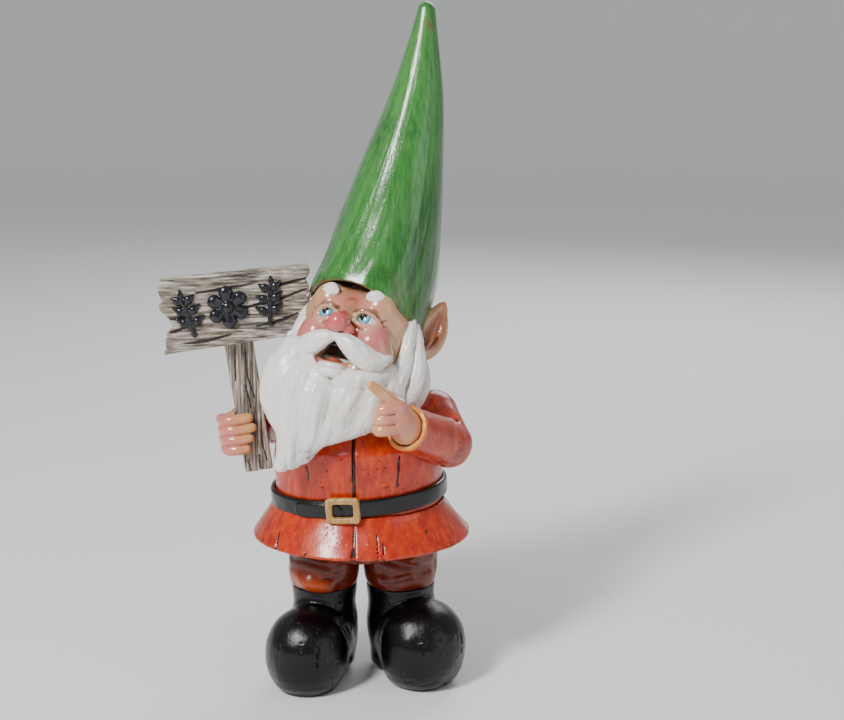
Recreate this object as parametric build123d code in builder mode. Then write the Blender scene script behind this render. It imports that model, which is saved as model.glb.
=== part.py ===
"""A hand-painted cast-resin garden gnome that looks up past the plank sign in its fist.

Millimetres. +Z is up, the gnome faces -Y, and its own left is +X. Pieces are placed about the body's axis,
x = 0 and y = 0, and at the end everything is moved so that the origin is on the ground under the middle of
the whole figure. "Left" and "right" in names are the gnome's own.
"""

import os
from math import asin, cos, pi, radians, sin, tan

from build123d import *

# ---------------------------------------------------------------- driving dimensions
WALL = 5.0  # thickness of the resin castings
FIT = 0.3  # gap left between castings that are cemented together
SLIDE_FIT = 0.5  # gap round the sign post, which lifts out of the fist

SOLE = 5.0
BOOT_TOP = 57.0
HEM = 90.0  # lower edge of the coat
WAIST_LOW, WAIST_HIGH = 106.0, 130.0  # the straight band that carries the belt
WAIST = (51.0, 44.0)  # half width and half depth of that band
SHOULDER = 184.0

BELT_CENTRE, BELT_WIDTH, BELT_THICK = 118.0, 10.5, 3.0
BELT_TILT = 3.4  # degrees; the belt rides higher on the gnome's left

ROD = 3.0  # radius of the steel armature rods
PEG = 3.0  # radius of the resin locating pegs

HEAD_CENTRE = (1.0, -8.0, 210.0)
HEAD_RADIUS = 34.0
HEAD_YAW, HEAD_PITCH, HEAD_ROLL = 19.0, 28.0, 7.0  # degrees: to its right, upwards, towards its left

SIGN_FOOT = (-64.3, 3.0, 152.0)  # centre of the post at the height of the fist
SIGN_YAW, SIGN_LEAN = 9.0, 7.6  # degrees
POST_WIDTH, POST_THICK = 17.2, 9.0
POST_LOW, POST_HIGH = -24.0, 93.0  # along the post, from SIGN_FOOT
BOARD_THICK = 9.0
MOTIF_THICK = 3.0


def turned(origin, yaw, pitch=0.0, roll=0.0):
    """A plane whose axes are the world's, turned by pitch about X, then yaw about Z, then roll about Y."""
    turn = Rotation(0, roll, 0) * Rotation(0, 0, -yaw) * Rotation(-pitch, 0, 0)
    return Plane(Location(origin) * turn)


HEAD = turned(HEAD_CENTRE, HEAD_YAW, HEAD_PITCH, HEAD_ROLL)
SIGN = turned(SIGN_FOOT, -SIGN_YAW, roll=-SIGN_LEAN)

parts = {}


def keep(name, part):
    """Names a finished piece and puts it on the list that is written at the end."""
    part.label = name
    parts[name] = part
    return part


# ---------------------------------------------------------------- shapes used by several pieces
def ovals(*sections):
    """A solid lofted through level ovals, each given as z, x, y, half width, half depth."""
    with BuildPart() as stack:
        for z, x, y, half_width, half_depth in sections:
            with BuildSketch(Plane.XY.offset(z)):
                with Locations((x, y)):
                    Ellipse(half_width, half_depth)
        loft()
    return stack.part


def capsule(start, start_radius, end, end_radius):
    """A ball at each end, joined by the cone that touches both."""
    along = Vector(end) - Vector(start)
    slope = asin((start_radius - end_radius) / along.length)
    below, above = (slope - pi / 2) / 2, (slope + pi / 2) / 2

    def rim(height, radius, angle):
        return radius * cos(angle), height + radius * sin(angle)

    with BuildPart() as pill:
        with BuildSketch(Plane.XZ):
            with BuildLine():
                ThreePointArc(
                    (0, -start_radius), rim(0, start_radius, below), rim(0, start_radius, slope)
                )
                Line(rim(0, start_radius, slope), rim(along.length, end_radius, slope))
                ThreePointArc(
                    rim(along.length, end_radius, slope),
                    rim(along.length, end_radius, above),
                    (0, along.length + end_radius),
                )
                Line((0, along.length + end_radius), (0, -start_radius))
            make_face()
        revolve(axis=Axis.Z)
    return Plane(origin=start, z_dir=along).location * pill.part


def limbs(chains, grow=0.0):
    """Rounded limbs, each a chain of points and radii, with every radius made larger by grow."""
    with BuildPart() as arms:
        for chain in chains:
            if len(chain) == 1:
                with Locations(chain[0][0]):
                    Sphere(chain[0][1] + grow)
            for (start, start_radius), (end, end_radius) in zip(chain, chain[1:]):
                inner = 0.0 if start is chain[0][0] else 0.15
                add(capsule(start, start_radius + grow - inner, end, end_radius + grow))
    return arms.part


def rod(start, end, radius):
    """A round bar from one point to another."""
    along = Vector(end) - Vector(start)
    with BuildPart() as bar:
        with BuildSketch(Plane(origin=start, z_dir=along)):
            Circle(radius)
        extrude(amount=along.length)
    return bar.part


def less(part, *tools):
    """The part with other solids cut out of it."""
    with BuildPart() as cut:
        add(part)
        for tool in tools:
            add(tool, mode=Mode.SUBTRACT)
    return cut.part


def largest(part):
    """The biggest solid of a part, without the crumbs that a cut can leave."""
    with BuildPart() as kept:
        add(part.solids().sort_by(SortBy.VOLUME)[-1])
    return kept.part


def local(plane, *point):
    """A point given in a plane's own axes, in the world's."""
    return plane.from_local_coords(point)


# ---------------------------------------------------------------- boots, trousers, ballast and leg rods
class Side:
    """Where one leg stands, with its leg and toe given as centres and radii."""

    def __init__(self, name, leg, leg_radius, toe, toe_radius, heel):
        self.name = name
        self.leg = leg
        self.leg_radius = leg_radius
        self.toe = toe
        self.toe_radius = toe_radius
        self.heel = heel


SIDES = (
    Side("right", (-22.0, 1.0), 20.0, (-31.0, -28.0, 24.5), 25.5, (-21.5, 5.0, 20.0)),
    Side("left", (25.0, 3.0), 21.0, (38.0, -19.0, 25.0), 27.0, (26.0, 7.0, 20.0)),
)
HEEL_RADIUS = 19.3
SOLE_TOE, SOLE_HEEL = 17.5, 14.5  # radii of the sole's two ends
LEG_PUFF = 10.0  # height over which the trousers swell above the boots
BALLAST_RADIUS, BALLAST_HIGH = 12.5, 44.0
PLUG_RADIUS, PLUG_DIMPLE = 8.0, 2.0
ROD_LOW, ROD_HIGH = 20.0, 132.0
PLATE_LOW, PLATE_THICK = 126.0, 4.0
PLATE = (66.0, 20.0)

hips = ovals((84, 0, 0, 43, 36), (96, 0, 0, 45, 37), (WAIST_HIGH - 18, 0, 0, 44.5, 36.5))
for side in SIDES:
    leg_x, leg_y = side.leg
    leg_rod = rod((leg_x, leg_y, ROD_LOW), (leg_x, leg_y, ROD_HIGH), ROD)

    with BuildPart() as sole:
        with BuildSketch():
            with Locations(side.toe[:2]):
                Circle(SOLE_TOE)
            with Locations(side.heel[:2]):
                Circle(SOLE_HEEL)
            make_hull()
        extrude(amount=SOLE)
        chamfer(sole.edges().group_by(Axis.Z)[0], 1.0)
        with Locations((leg_x, leg_y, SOLE / 2)):
            Cylinder(PLUG_RADIUS, SOLE, mode=Mode.SUBTRACT)
    keep(f"{side.name}_boot_sole", sole.part)

    with BuildPart() as plug:
        with Locations((leg_x, leg_y, SOLE / 2)):
            Cylinder(PLUG_RADIUS, SOLE)
        with Locations((leg_x, leg_y, 0)):
            Cylinder(PLUG_RADIUS / 2, 2 * PLUG_DIMPLE, mode=Mode.SUBTRACT)
    keep(f"{side.name}_filler_plug", plug.part)

    with BuildPart() as ballast:
        with Locations((leg_x, leg_y, (BALLAST_HIGH + SOLE) / 2)):
            Cylinder(BALLAST_RADIUS, BALLAST_HIGH - SOLE)
    with BuildPart() as boot:
        with Locations((leg_x, leg_y, (BOOT_TOP + SOLE) / 2)):
            Cone(side.leg_radius - 2, side.leg_radius, BOOT_TOP - SOLE)
        add(capsule(side.heel, HEEL_RADIUS, side.toe, side.toe_radius))
        split(bisect_by=Plane.XY.offset(SOLE), keep=Keep.TOP)
        add(ballast.part, mode=Mode.SUBTRACT)
        add(leg_rod, mode=Mode.SUBTRACT)
    keep(f"{side.name}_boot", boot.part)
    keep(f"{side.name}_ballast", less(ballast.part, leg_rod))
    keep(f"{side.name}_leg_rod", leg_rod)

    outward = 1 if leg_x > 0 else -1
    with BuildPart() as trousers:
        with Locations((leg_x, leg_y, BOOT_TOP + LEG_PUFF / 2)):
            Cone(side.leg_radius, side.leg_radius + 2, LEG_PUFF)
        with Locations((leg_x, leg_y, (BOOT_TOP + LEG_PUFF + HEM) / 2)):
            Cylinder(side.leg_radius + 2, HEM - BOOT_TOP - LEG_PUFF)
        add(hips)
        split(bisect_by=Plane.YZ.offset(outward * FIT / 2), keep=Keep.TOP if outward > 0 else Keep.BOTTOM)
        add(leg_rod, mode=Mode.SUBTRACT)
    keep(f"{side.name}_trouser_leg", largest(trousers.part))

with BuildPart() as armature_plate:
    with BuildSketch(Plane.XY.offset(PLATE_LOW)):
        with Locations((1.5, 1)):
            SlotOverall(*PLATE)
    extrude(amount=PLATE_THICK)
    for side in SIDES:
        add(parts[f"{side.name}_leg_rod"], mode=Mode.SUBTRACT)
keep("armature_plate", armature_plate.part)
SPINE_HIGH = 214.0
spine = keep("spine_rod", rod((0, 0, PLATE_LOW + PLATE_THICK), (0, 0, SPINE_HIGH), ROD))

# ---------------------------------------------------------------- head: a face and the back of the skull
head_shell = less(limbs([[(HEAD_CENTRE, HEAD_RADIUS)]]), limbs([[(HEAD_CENTRE, HEAD_RADIUS - WALL)]]))
head_room = limbs([[(HEAD_CENTRE, HEAD_RADIUS + FIT)]])
ear_line = Plane(origin=HEAD_CENTRE, x_dir=HEAD.x_dir, z_dir=-HEAD.y_dir)


def in_head(*chain):
    """A chain of points and radii moved from the head's own axes to the world's."""
    return [(local(HEAD, *point), radius) for point, radius in chain]


features = [
    in_head(((0, -32, 8), 3.4), ((0, -36.5, 0), 4.3)),
    in_head(((0, -41, -2.5), 7.0)),
    in_head(((-5.6, -35.8, -5.5), 4.5)),
    in_head(((5.6, -35.8, -5.5), 4.5)),
    in_head(((-17, -22.5, -6.5), 10.8)),
    in_head(((17, -22.5, -6.5), 10.8)),
]
with BuildPart() as face:
    with Locations(HEAD.location):
        Sphere(HEAD_RADIUS, rotation=(90, 0, 0))  # its poles lie under the nose and in the nape
    for feature in features:
        add(limbs([feature]))
    split(bisect_by=ear_line, keep=Keep.TOP)
    with Locations(HEAD.location):
        Sphere(HEAD_RADIUS - WALL, rotation=(90, 0, 0), mode=Mode.SUBTRACT)
keep("face", face.part)

with BuildPart() as skull:
    add(head_shell)
    split(bisect_by=ear_line, keep=Keep.BOTTOM)
    add(spine, mode=Mode.SUBTRACT)
keep("skull", largest(skull.part))

# ---------------------------------------------------------------- coat
SHOULDERS = {"left": Vector(45.0, 4.0, 162.0), "right": Vector(-39.0, 14.0, 163.0)}


def torso_stack(inset, top):
    """The coat's body above the waist band, as a solid drawn in from the outside by inset."""
    return ovals(*(
        (z, 0, y, half_width - inset, half_depth - inset)
        for z, y, half_width, half_depth in (
            (WAIST_HIGH, 0, *WAIST), (150, -1, 49.5, 44), (168, 0, 39, 34), (top, 1, 22, 20),
        )
    ))


torso_outer = torso_stack(0, SHOULDER)
with BuildPart() as torso_and_gap:
    add(torso_stack(-FIT, SHOULDER + FIT))
    with BuildSketch(Plane.XY.offset(WAIST_LOW)):
        Ellipse(WAIST[0] + FIT, WAIST[1] + FIT)
    extrude(amount=WAIST_HIGH - WAIST_LOW)
torso_room = torso_and_gap.part
with BuildPart() as waist_band:
    with BuildSketch(Plane.XY.offset(WAIST_LOW)):
        Ellipse(*WAIST)
        Ellipse(WAIST[0] - WALL, WAIST[1] - WALL, mode=Mode.SUBTRACT)
    extrude(amount=WAIST_HIGH - WAIST_LOW)
arm_pegs = {
    name: rod((at.X * 0.78, at.Y, at.Z - 6), (at.X * 1.12, at.Y, at.Z - 6), PEG)
    for name, at in SHOULDERS.items()
}
with BuildPart() as torso:
    add(torso_outer)
    add(torso_stack(WALL, SHOULDER - WALL), mode=Mode.SUBTRACT)
    add(waist_band.part)
    add(head_room, mode=Mode.SUBTRACT)
    for peg in arm_pegs.values():
        add(peg, mode=Mode.SUBTRACT)
for name, half in (("coat_front", Keep.TOP), ("coat_back", Keep.BOTTOM)):
    with BuildPart() as coat_half:
        add(torso.part)
        split(bisect_by=Plane.XZ, keep=half)
        add(spine, mode=Mode.SUBTRACT)
    keep(name, largest(coat_half.part))

HEM_OFFSET = 1.5  # the hem stands out a little further on the gnome's left
with BuildPart() as skirt:
    add(ovals(
        (HEM, HEM_OFFSET, 0, 66.5, 58),
        (98, HEM_OFFSET / 2, 0, 60, 52),
        (WAIST_LOW, 0, 0, *WAIST),
    ))
    add(
        ovals(
            (HEM, HEM_OFFSET, 0, 62.5, 54),
            (98, HEM_OFFSET / 2, 0, 54, 46.5),
            (WAIST_LOW, 0, 0, WAIST[0] - WALL + 0.1, WAIST[1] - WALL - 0.9),
        ),
        mode=Mode.SUBTRACT,
    )
keep("coat_skirt", skirt.part)

# ---------------------------------------------------------------- belt and buckle
belt_plane = turned((0, 0, BELT_CENTRE), 0, roll=-BELT_TILT)
with BuildPart() as belt:
    with BuildSketch(Plane.XY.offset(WAIST_LOW)):
        Ellipse(WAIST[0] + BELT_THICK, WAIST[1] + BELT_THICK)
        Ellipse(*WAIST, mode=Mode.SUBTRACT)
    extrude(amount=WAIST_HIGH - WAIST_LOW)
    split(bisect_by=belt_plane.offset(BELT_WIDTH / 2), keep=Keep.BOTTOM)
    split(bisect_by=belt_plane.offset(-BELT_WIDTH / 2), keep=Keep.TOP)
belt_part = keep("belt", belt.part)

BUCKLE_X = -7.5
BUCKLE_OUTSIDE, BUCKLE_HOLE, BUCKLE_THICK = (20.5, 16.0), (11.5, 7.0), 3.4
BUCKLE_TURN = 7.0  # degrees; it follows the curve of the belt
buckle_middle = (BUCKLE_X, -WAIST[1] - BELT_THICK + 1.0, BELT_CENTRE + BUCKLE_X * tan(radians(BELT_TILT)))
buckle_frame = turned(buckle_middle, BUCKLE_TURN, roll=-BELT_TILT)
buckle_plane = Plane(origin=buckle_middle, x_dir=buckle_frame.x_dir, z_dir=-buckle_frame.y_dir)
with BuildPart() as buckle:
    with BuildSketch(buckle_plane):
        RectangleRounded(*BUCKLE_OUTSIDE, 3.5)
        RectangleRounded(*BUCKLE_HOLE, 1.5, mode=Mode.SUBTRACT)
    extrude(amount=BUCKLE_THICK)
    chamfer(buckle.faces().sort_by(Axis.Y)[0].edges(), 0.8)
    add(belt_part, mode=Mode.SUBTRACT)
keep("belt_buckle", largest(buckle.part))

# ---------------------------------------------------------------- sign
BOARD_OUTLINE = (
    (-40.4, 102.3), (47.0, 97.5), (48.0, 95.5), (45.5, 84.0), (43.0, 75.0), (38.5, 65.0),
    (29.0, 57.0), (-44.0, 57.5), (-41.8, 66.0), (-37.0, 74.0), (-41.4, 83.0),
)
BOARD_SLOPE = -3.4  # degrees; the board isn't quite square to its post
sign_face = Plane(origin=SIGN.origin, x_dir=SIGN.x_dir, z_dir=-SIGN.y_dir)
board_back = sign_face.offset(POST_THICK / 2)
with BuildPart() as post:
    with BuildSketch(SIGN.offset(POST_LOW)):
        Rectangle(POST_WIDTH, POST_THICK)
        chamfer(vertices(), 1.2)
    extrude(amount=POST_HIGH - POST_LOW)
with BuildPart() as board:
    with BuildSketch(board_back):
        with BuildLine():
            Polyline(*BOARD_OUTLINE, close=True)
        make_face()
    extrude(amount=BOARD_THICK)

SCREW_RADIUS, SCREW_HEAD, SCREW_HEAD_THICK, SCREW_BITE = 1.5, 3.2, 1.6, 5.0
SCREW_HEIGHTS = (68.0, 86.0)
with BuildPart() as board_screws:
    for height in SCREW_HEIGHTS:
        with BuildSketch(sign_face.offset(-POST_THICK / 2)):
            with Locations((0, height)):
                Circle(SCREW_RADIUS)
        extrude(amount=POST_THICK + SCREW_BITE)
        with BuildSketch(sign_face.offset(-POST_THICK / 2)):
            with Locations((0, height)):
                Circle(SCREW_HEAD)
        extrude(amount=-SCREW_HEAD_THICK)
keep("board_screws", board_screws.part)

STOP_PIN_RADIUS, STOP_PIN_X, STOP_PIN_HEIGHT = 1.5, -4.0, 14.3
stop_pin = keep("post_stop_pin", rod(
    local(SIGN, STOP_PIN_X, -POST_THICK / 2 + 2, STOP_PIN_HEIGHT),
    local(SIGN, STOP_PIN_X, POST_THICK / 2 + 8, STOP_PIN_HEIGHT),
    STOP_PIN_RADIUS,
))
keep("sign_post", less(post.part, board_screws.part, stop_pin))
keep("sign_board", less(board.part, board_screws.part))

MOTIF_MIDDLE = 79.0
motif_face = board_back.offset(BOARD_THICK)
STEM_WIDTH, STEM_LENGTH = 2.8, 30.0
LEAF, TOP_LEAF = (3.0, 6.2), (3.4, 6.2)  # half width and half length
LEAF_OUT, LEAF_LEAN = 5.2, 52.0  # from the stem, and degrees
for name, centre, lean in (("right_sprig", -27.0, 8.0), ("left_sprig", 22.0, -8.0)):
    sprig_place = Location((centre, MOTIF_MIDDLE, 0), (0, 0, lean + BOARD_SLOPE))
    sprig_face = Plane(motif_face.location * sprig_place)
    with BuildPart() as sprig:
        with BuildSketch(sprig_face):
            Rectangle(STEM_WIDTH, STEM_LENGTH)
            for height in (-8, 2):
                for outward in (-1, 1):
                    with Locations((outward * LEAF_OUT, height + 4)):
                        Ellipse(*LEAF, rotation=-outward * LEAF_LEAN)
            with Locations((0, 13)):
                Ellipse(*TOP_LEAF)
        extrude(amount=MOTIF_THICK)
    keep(f"sign_{name}", sprig.part)

PETALS, PETAL_RADIUS, FLOWER_RADIUS, FLOWER_EYE, EYE_THICK = 6, 4.6, 8.6, 4.0, 1.2
flower_face = Plane(motif_face.location * Location((-3.0, MOTIF_MIDDLE + 1, 0)))
with BuildPart() as flower:
    with BuildSketch(flower_face):
        Circle(FLOWER_RADIUS - 1)
        with PolarLocations(FLOWER_RADIUS, PETALS):
            Circle(PETAL_RADIUS)
    extrude(amount=MOTIF_THICK)
    with BuildSketch(flower_face.offset(MOTIF_THICK)):
        Circle(FLOWER_EYE)
    extrude(amount=EYE_THICK)
keep("sign_flower", flower.part)

# ---------------------------------------------------------------- arms and hands
SLEEVES = {
    "left": [
        (SHOULDERS["left"], 15.5), (Vector(54.0, -14.0, 149.0), 14.5), (Vector(31.5, -50.0, 167.0), 13.0),
    ],
    "right": [
        (SHOULDERS["right"], 15.0), (Vector(-57.0, 42.0, 148.0), 14.0), (Vector(-71.5, 24.5, 150.0), 12.0),
    ],
}
CUFF_LENGTH, WRIST = 4.5, 9.0
PEG_IN, PEG_OUT = 8.0, 7.0  # how far a wrist peg goes into the sleeve and into the hand
FIST_TIPS = (0.8, 1.9, -0.6, -3.3)  # how far each finger reaches across the post, top to bottom
FIST_TOP_FINGER, FINGER_PITCH = 11.0, 6.2
CURLED_FINGERS = ((15.8, 183.0), (14.4, 177.0), (14.6, 171.0))  # x and z of the pointing hand's knuckles
HANDS = {
    "left": [
        [((25.5, -59.0, 174.0), 9.5), ((23.5, -61.5, 181.0), 8.0)],
        [((20.5, -63.0, 186.0), 3.5), ((10.8, -68.5, 196.5), 2.7)],
        [((24.0, -55.0, 184.0), 3.7), ((16.5, -58.5, 189.5), 3.1)],
    ] + [[((x + 6, -65.0, z), 3.5), ((x, -66.0, z - 0.5), 3.3)] for x, z in CURLED_FINGERS],
    "right": [
        [(local(SIGN, -11, 3, -3.5), 10.0), (local(SIGN, -10, 3.5, 4.5), 9.8)],
        [(local(SIGN, -10, 9.5, 4), 4.5), (local(SIGN, 1, 10, 8), 3.7)],
    ] + [
        [
            (local(SIGN, -17.0, -3.0, FIST_TOP_FINGER - FINGER_PITCH * row), 3.5),
            (local(SIGN, -12.5, -8.4, FIST_TOP_FINGER - FINGER_PITCH * row), 3.3),
            (local(SIGN, reach - 3, -8.4, FIST_TOP_FINGER - FINGER_PITCH * row - 0.3), 3.0),
        ]
        for row, reach in enumerate(FIST_TIPS)
    ],
}
with BuildPart() as grip:
    with BuildSketch(SIGN.offset(POST_LOW)):
        with Locations((POST_WIDTH, 0)):
            Rectangle(3 * POST_WIDTH + 2 * SLIDE_FIT, POST_THICK + 2 * SLIDE_FIT)
    extrude(amount=POST_HIGH - POST_LOW)

for name, joints in SLEEVES.items():
    wrist, wrist_radius = joints[-1]
    along = (Vector(wrist) - Vector(joints[-2][0])).normalized()
    cuff_plane = Plane(origin=wrist, z_dir=along)
    wrist_peg = keep(f"{name}_wrist_peg", rod(wrist - along * PEG_IN, wrist + along * PEG_OUT, PEG))
    with BuildPart() as sleeve:
        add(limbs([joints]))
        split(bisect_by=cuff_plane, keep=Keep.BOTTOM)
        add(torso_room, mode=Mode.SUBTRACT)
        add(head_room, mode=Mode.SUBTRACT)
        add(arm_pegs[name], mode=Mode.SUBTRACT)
        add(wrist_peg, mode=Mode.SUBTRACT)
    keep(f"{name}_sleeve", largest(sleeve.part))
    keep(f"{name}_arm_peg", arm_pegs[name])
    with BuildPart() as cuff:
        with BuildSketch(cuff_plane):
            Circle(wrist_radius + 0.8)
            Circle(WRIST, mode=Mode.SUBTRACT)
        extrude(amount=CUFF_LENGTH)
    keep(f"{name}_cuff", cuff.part)

    with BuildPart() as hand:
        add(limbs(HANDS[name]))
        split(bisect_by=cuff_plane.offset(CUFF_LENGTH + FIT), keep=Keep.TOP)
        add(rod(wrist, wrist + along * 9, WRIST - FIT))
        if name == "right":
            add(grip.part, mode=Mode.SUBTRACT)
        add(wrist_peg, mode=Mode.SUBTRACT)
    keep(f"{name}_hand", largest(hand.part))

# ---------------------------------------------------------------- hat
HAT_RINGS = (  # x, y, z, radius, yaw, pitch, roll
    (4.6, -1.7, 222.0, 36.0, 19, 28, 7),
    (7.7, 3.8, 232.2, 36.5, 19, 28, 7),
    (13.0, 6.5, 248.0, 34.8, 14, 20, 7),
    (18.0, 8.0, 270.0, 31.6, 8, 14, 8),
    (26.5, 10.5, 310.0, 24.6, 0, 9, 9),
    (35.2, 14.5, 350.0, 16.4, 0, 7, 9),
    (39.5, 18.0, 385.0, 8.7, 0, 6, 6),
    (41.0, 20.0, 401.5, 5.3, 0, 6, 4),
)
BRIM_ARCH, BRIM_TOP = 80.0, 24.0  # the brim's lower edge arches over the face and over the nape
BRIM_SIDE = -9.0  # the arch's highest point, so that the hat sits lower on the gnome's left


def hat_stack(inset, rings):
    """The hat as a solid drawn in from the outside by inset."""
    with BuildPart() as stack:
        for x, y, z, radius, *turn in rings:
            with BuildSketch(turned((x, y, z), *turn)):
                Circle(radius - inset)
        loft()
    return stack.part


def under_brim(radius):
    """The space under the brim's arch, as a bar that runs from front to back through the head."""
    low = BRIM_TOP - BRIM_ARCH
    return rod(local(HEAD, BRIM_SIDE, -80, low), local(HEAD, BRIM_SIDE, 80, low), radius)


with BuildPart() as hat:
    add(hat_stack(0, HAT_RINGS))
    with Locations(HAT_RINGS[-1][:3]):
        Sphere(HAT_RINGS[-1][3] - 0.05)
    add(hat_stack(WALL, HAT_RINGS[1:6]), mode=Mode.SUBTRACT)
    add(under_brim(BRIM_ARCH), mode=Mode.SUBTRACT)
    add(head_room, mode=Mode.SUBTRACT)
keep("hat", largest(hat.part))

# ---------------------------------------------------------------- ears, eyebrows, moustache, hair and beard
below_hat = under_brim(BRIM_ARCH - FIT)
ears, brows, lip_hair, locks = {}, {}, {}, {}
for name, side_x in (("left", 1), ("right", -1)):
    ears[name] = in_head(
        ((side_x * 36, 9, -6), 4.0), ((side_x * 40, 9, 8), 6.5), ((side_x * 46, 16, 23), 1.5),
    )
    brows[name] = in_head(((side_x * 11, -31, 17.5), 3.6), ((side_x * 18, -27, 17), 3.2))
    lip_hair[name] = in_head(
        ((side_x * 2.8, -38.0, -11.5), 3.5), ((side_x * 12, -36.5, -14.5), 5.2),
        ((side_x * 22, -31.5, -17.5), 5.0), ((side_x * 27.5, -27.5, -15.0), 2.6),
    )
    locks[name] = in_head(
        ((side_x * 31, -11, 8), 4.2), ((side_x * 33.5, -11, -8), 4.8),
        ((side_x * 33, -8, -22), 6.0), ((side_x * 31, -3, -35), 4.0),
    )

for name in ears:
    with BuildPart() as ear:
        add(limbs([ears[name]]))
        add(below_hat, mode=Mode.INTERSECT)
        add(head_room, mode=Mode.SUBTRACT)
    keep(f"{name}_ear", largest(ear.part))
    with BuildPart() as brow:
        add(limbs([brows[name]]))
        add(below_hat, mode=Mode.INTERSECT)
        add(head_room, mode=Mode.SUBTRACT)
    keep(f"{name}_eyebrow", largest(brow.part))

HAIR_THICK, HAIR_START = 4.0, 2.0  # the hair's cap covers the back of the head, from just behind the ears
features_room = limbs(features, FIT)
with BuildPart() as nape_room:
    with Locations(HEAD_CENTRE):
        Sphere(HEAD_RADIUS + HAIR_THICK + FIT)
    split(bisect_by=ear_line.offset(FIT - HAIR_START), keep=Keep.BOTTOM)
keep("moustache", largest(less(limbs(lip_hair.values()), head_room, features_room)))

with BuildPart() as hair:
    with Locations(HEAD_CENTRE):
        Sphere(HEAD_RADIUS + HAIR_THICK)
    split(bisect_by=ear_line.offset(-HAIR_START), keep=Keep.BOTTOM)
    add(limbs(locks.values()))
    add(below_hat, mode=Mode.INTERSECT)
    for solid in (head_room, torso_room, limbs(ears.values(), FIT), limbs(SLEEVES.values(), FIT)):
        add(solid, mode=Mode.SUBTRACT)
keep("hair", largest(hair.part))

mouth_room = limbs([in_head(((-8, -42, -15), 8.0), ((8, -42, -15), 8.0))])
wrist, wrist_radius = SLEEVES["left"][-1]
forearm = wrist - SLEEVES["left"][-2][0]
cuff_room = rod(wrist, wrist + forearm * 0.3, wrist_radius + 1.2)
with BuildPart() as beard:
    add(limbs([
        [((-22, -34, 186), 23), ((-4, -34, 184), 21.5)],
        [((-30, -43, 176), 17), ((-37, -48, 159), 9.5), ((-43, -51, 148), 4.5)],
        [((-43, -22, 197), 8.5), ((-41, -32, 184), 13)],
        [((25, -27, 196), 8.5), ((13, -36, 176), 14)],
    ]))
    for solid in (
        mouth_room, head_room, features_room, nape_room.part, limbs(lip_hair.values(), FIT), torso_room,
        limbs(locks.values(), FIT), limbs(HANDS["left"], FIT), limbs(SLEEVES.values(), FIT), cuff_room,
    ):
        add(solid, mode=Mode.SUBTRACT)
keep("beard", largest(beard.part))

# ---------------------------------------------------------------- move to the ground's middle and write
boxes = [part.bounding_box() for part in parts.values()]
low = Vector(*(min(getattr(box.min, axis) for box in boxes) for axis in "XYZ"))
high = Vector(*(max(getattr(box.max, axis) for box in boxes) for axis in "XYZ"))
shift = Location((-(low.X + high.X) / 2, -(low.Y + high.Y) / 2, -low.Z))
os.makedirs("parts", exist_ok=True)
for name, part in parts.items():
    placed = part.moved(shift)
    placed.label = name
    export_step(placed, f"parts/{name}.step")
print(f"{len(parts)} pieces, {high - low}, the body's axis moved by {shift.position}")
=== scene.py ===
"""A garden gnome's looks: painted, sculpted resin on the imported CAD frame.

Shapes are modelled as distance fields in millimetres about the body's axis, meshed, and then moved to
the frame.
"""

import bpy
import numpy as np
import openvdb
from mathutils import Matrix, Vector


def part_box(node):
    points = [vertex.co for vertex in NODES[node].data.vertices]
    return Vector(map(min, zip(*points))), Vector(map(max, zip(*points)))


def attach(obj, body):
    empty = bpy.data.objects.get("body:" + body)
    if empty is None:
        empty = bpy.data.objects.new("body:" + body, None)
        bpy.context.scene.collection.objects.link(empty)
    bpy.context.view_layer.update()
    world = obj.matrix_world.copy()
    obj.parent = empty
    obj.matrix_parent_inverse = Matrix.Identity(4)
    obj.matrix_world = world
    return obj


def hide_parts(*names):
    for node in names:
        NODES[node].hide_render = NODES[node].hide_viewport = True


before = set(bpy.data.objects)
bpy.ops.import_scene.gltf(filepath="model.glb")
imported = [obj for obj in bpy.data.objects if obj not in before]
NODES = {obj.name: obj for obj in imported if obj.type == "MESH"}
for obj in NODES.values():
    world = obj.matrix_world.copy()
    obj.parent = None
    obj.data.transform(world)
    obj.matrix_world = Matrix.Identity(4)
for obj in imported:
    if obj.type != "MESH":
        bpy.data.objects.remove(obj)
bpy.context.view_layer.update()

low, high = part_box("spine_rod")
AXIS = np.array([(low[0] + high[0]) / 2, (low[1] + high[1]) / 2, 0.0])  # the body's axis, in metres
DENSE = 1.0


# ---------------------------------------------------------------- axes
def turned(origin, yaw, pitch=0.0, roll=0.0):
    """Origin and axes (as columns) turned by pitch about X, then yaw about Z, then roll about Y."""
    turn = Matrix.Rotation(np.radians(roll), 3, "Y") @ Matrix.Rotation(np.radians(-yaw), 3, "Z")
    turn = turn @ Matrix.Rotation(np.radians(-pitch), 3, "X")
    return np.array(origin, float), np.array(turn)


WORLD = turned((0, 0, 0), 0)
HEAD = turned((1.0, -8.0, 210.0), 19.0, 28.0, 7.0)
SIGN = turned((-64.3, 3.0, 152.0), -9.0, 0.0, -7.6)
BELT = turned((0, 0, 118.0), 0, 0, -3.4)


def out_of(axes, points):
    """Points from a set of axes to the body's own."""
    return np.asarray(points, float) @ axes[1].T + axes[0]


def into(axes, points):
    """Points from the body's axes to another set."""
    return (np.asarray(points, float) - axes[0]) @ axes[1]


def moved(axes, *balls):
    """A chain of x, y, z, radius moved from a set of axes to the body's own."""
    return [(*out_of(axes, ball[:3]), ball[3]) for ball in balls]


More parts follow.
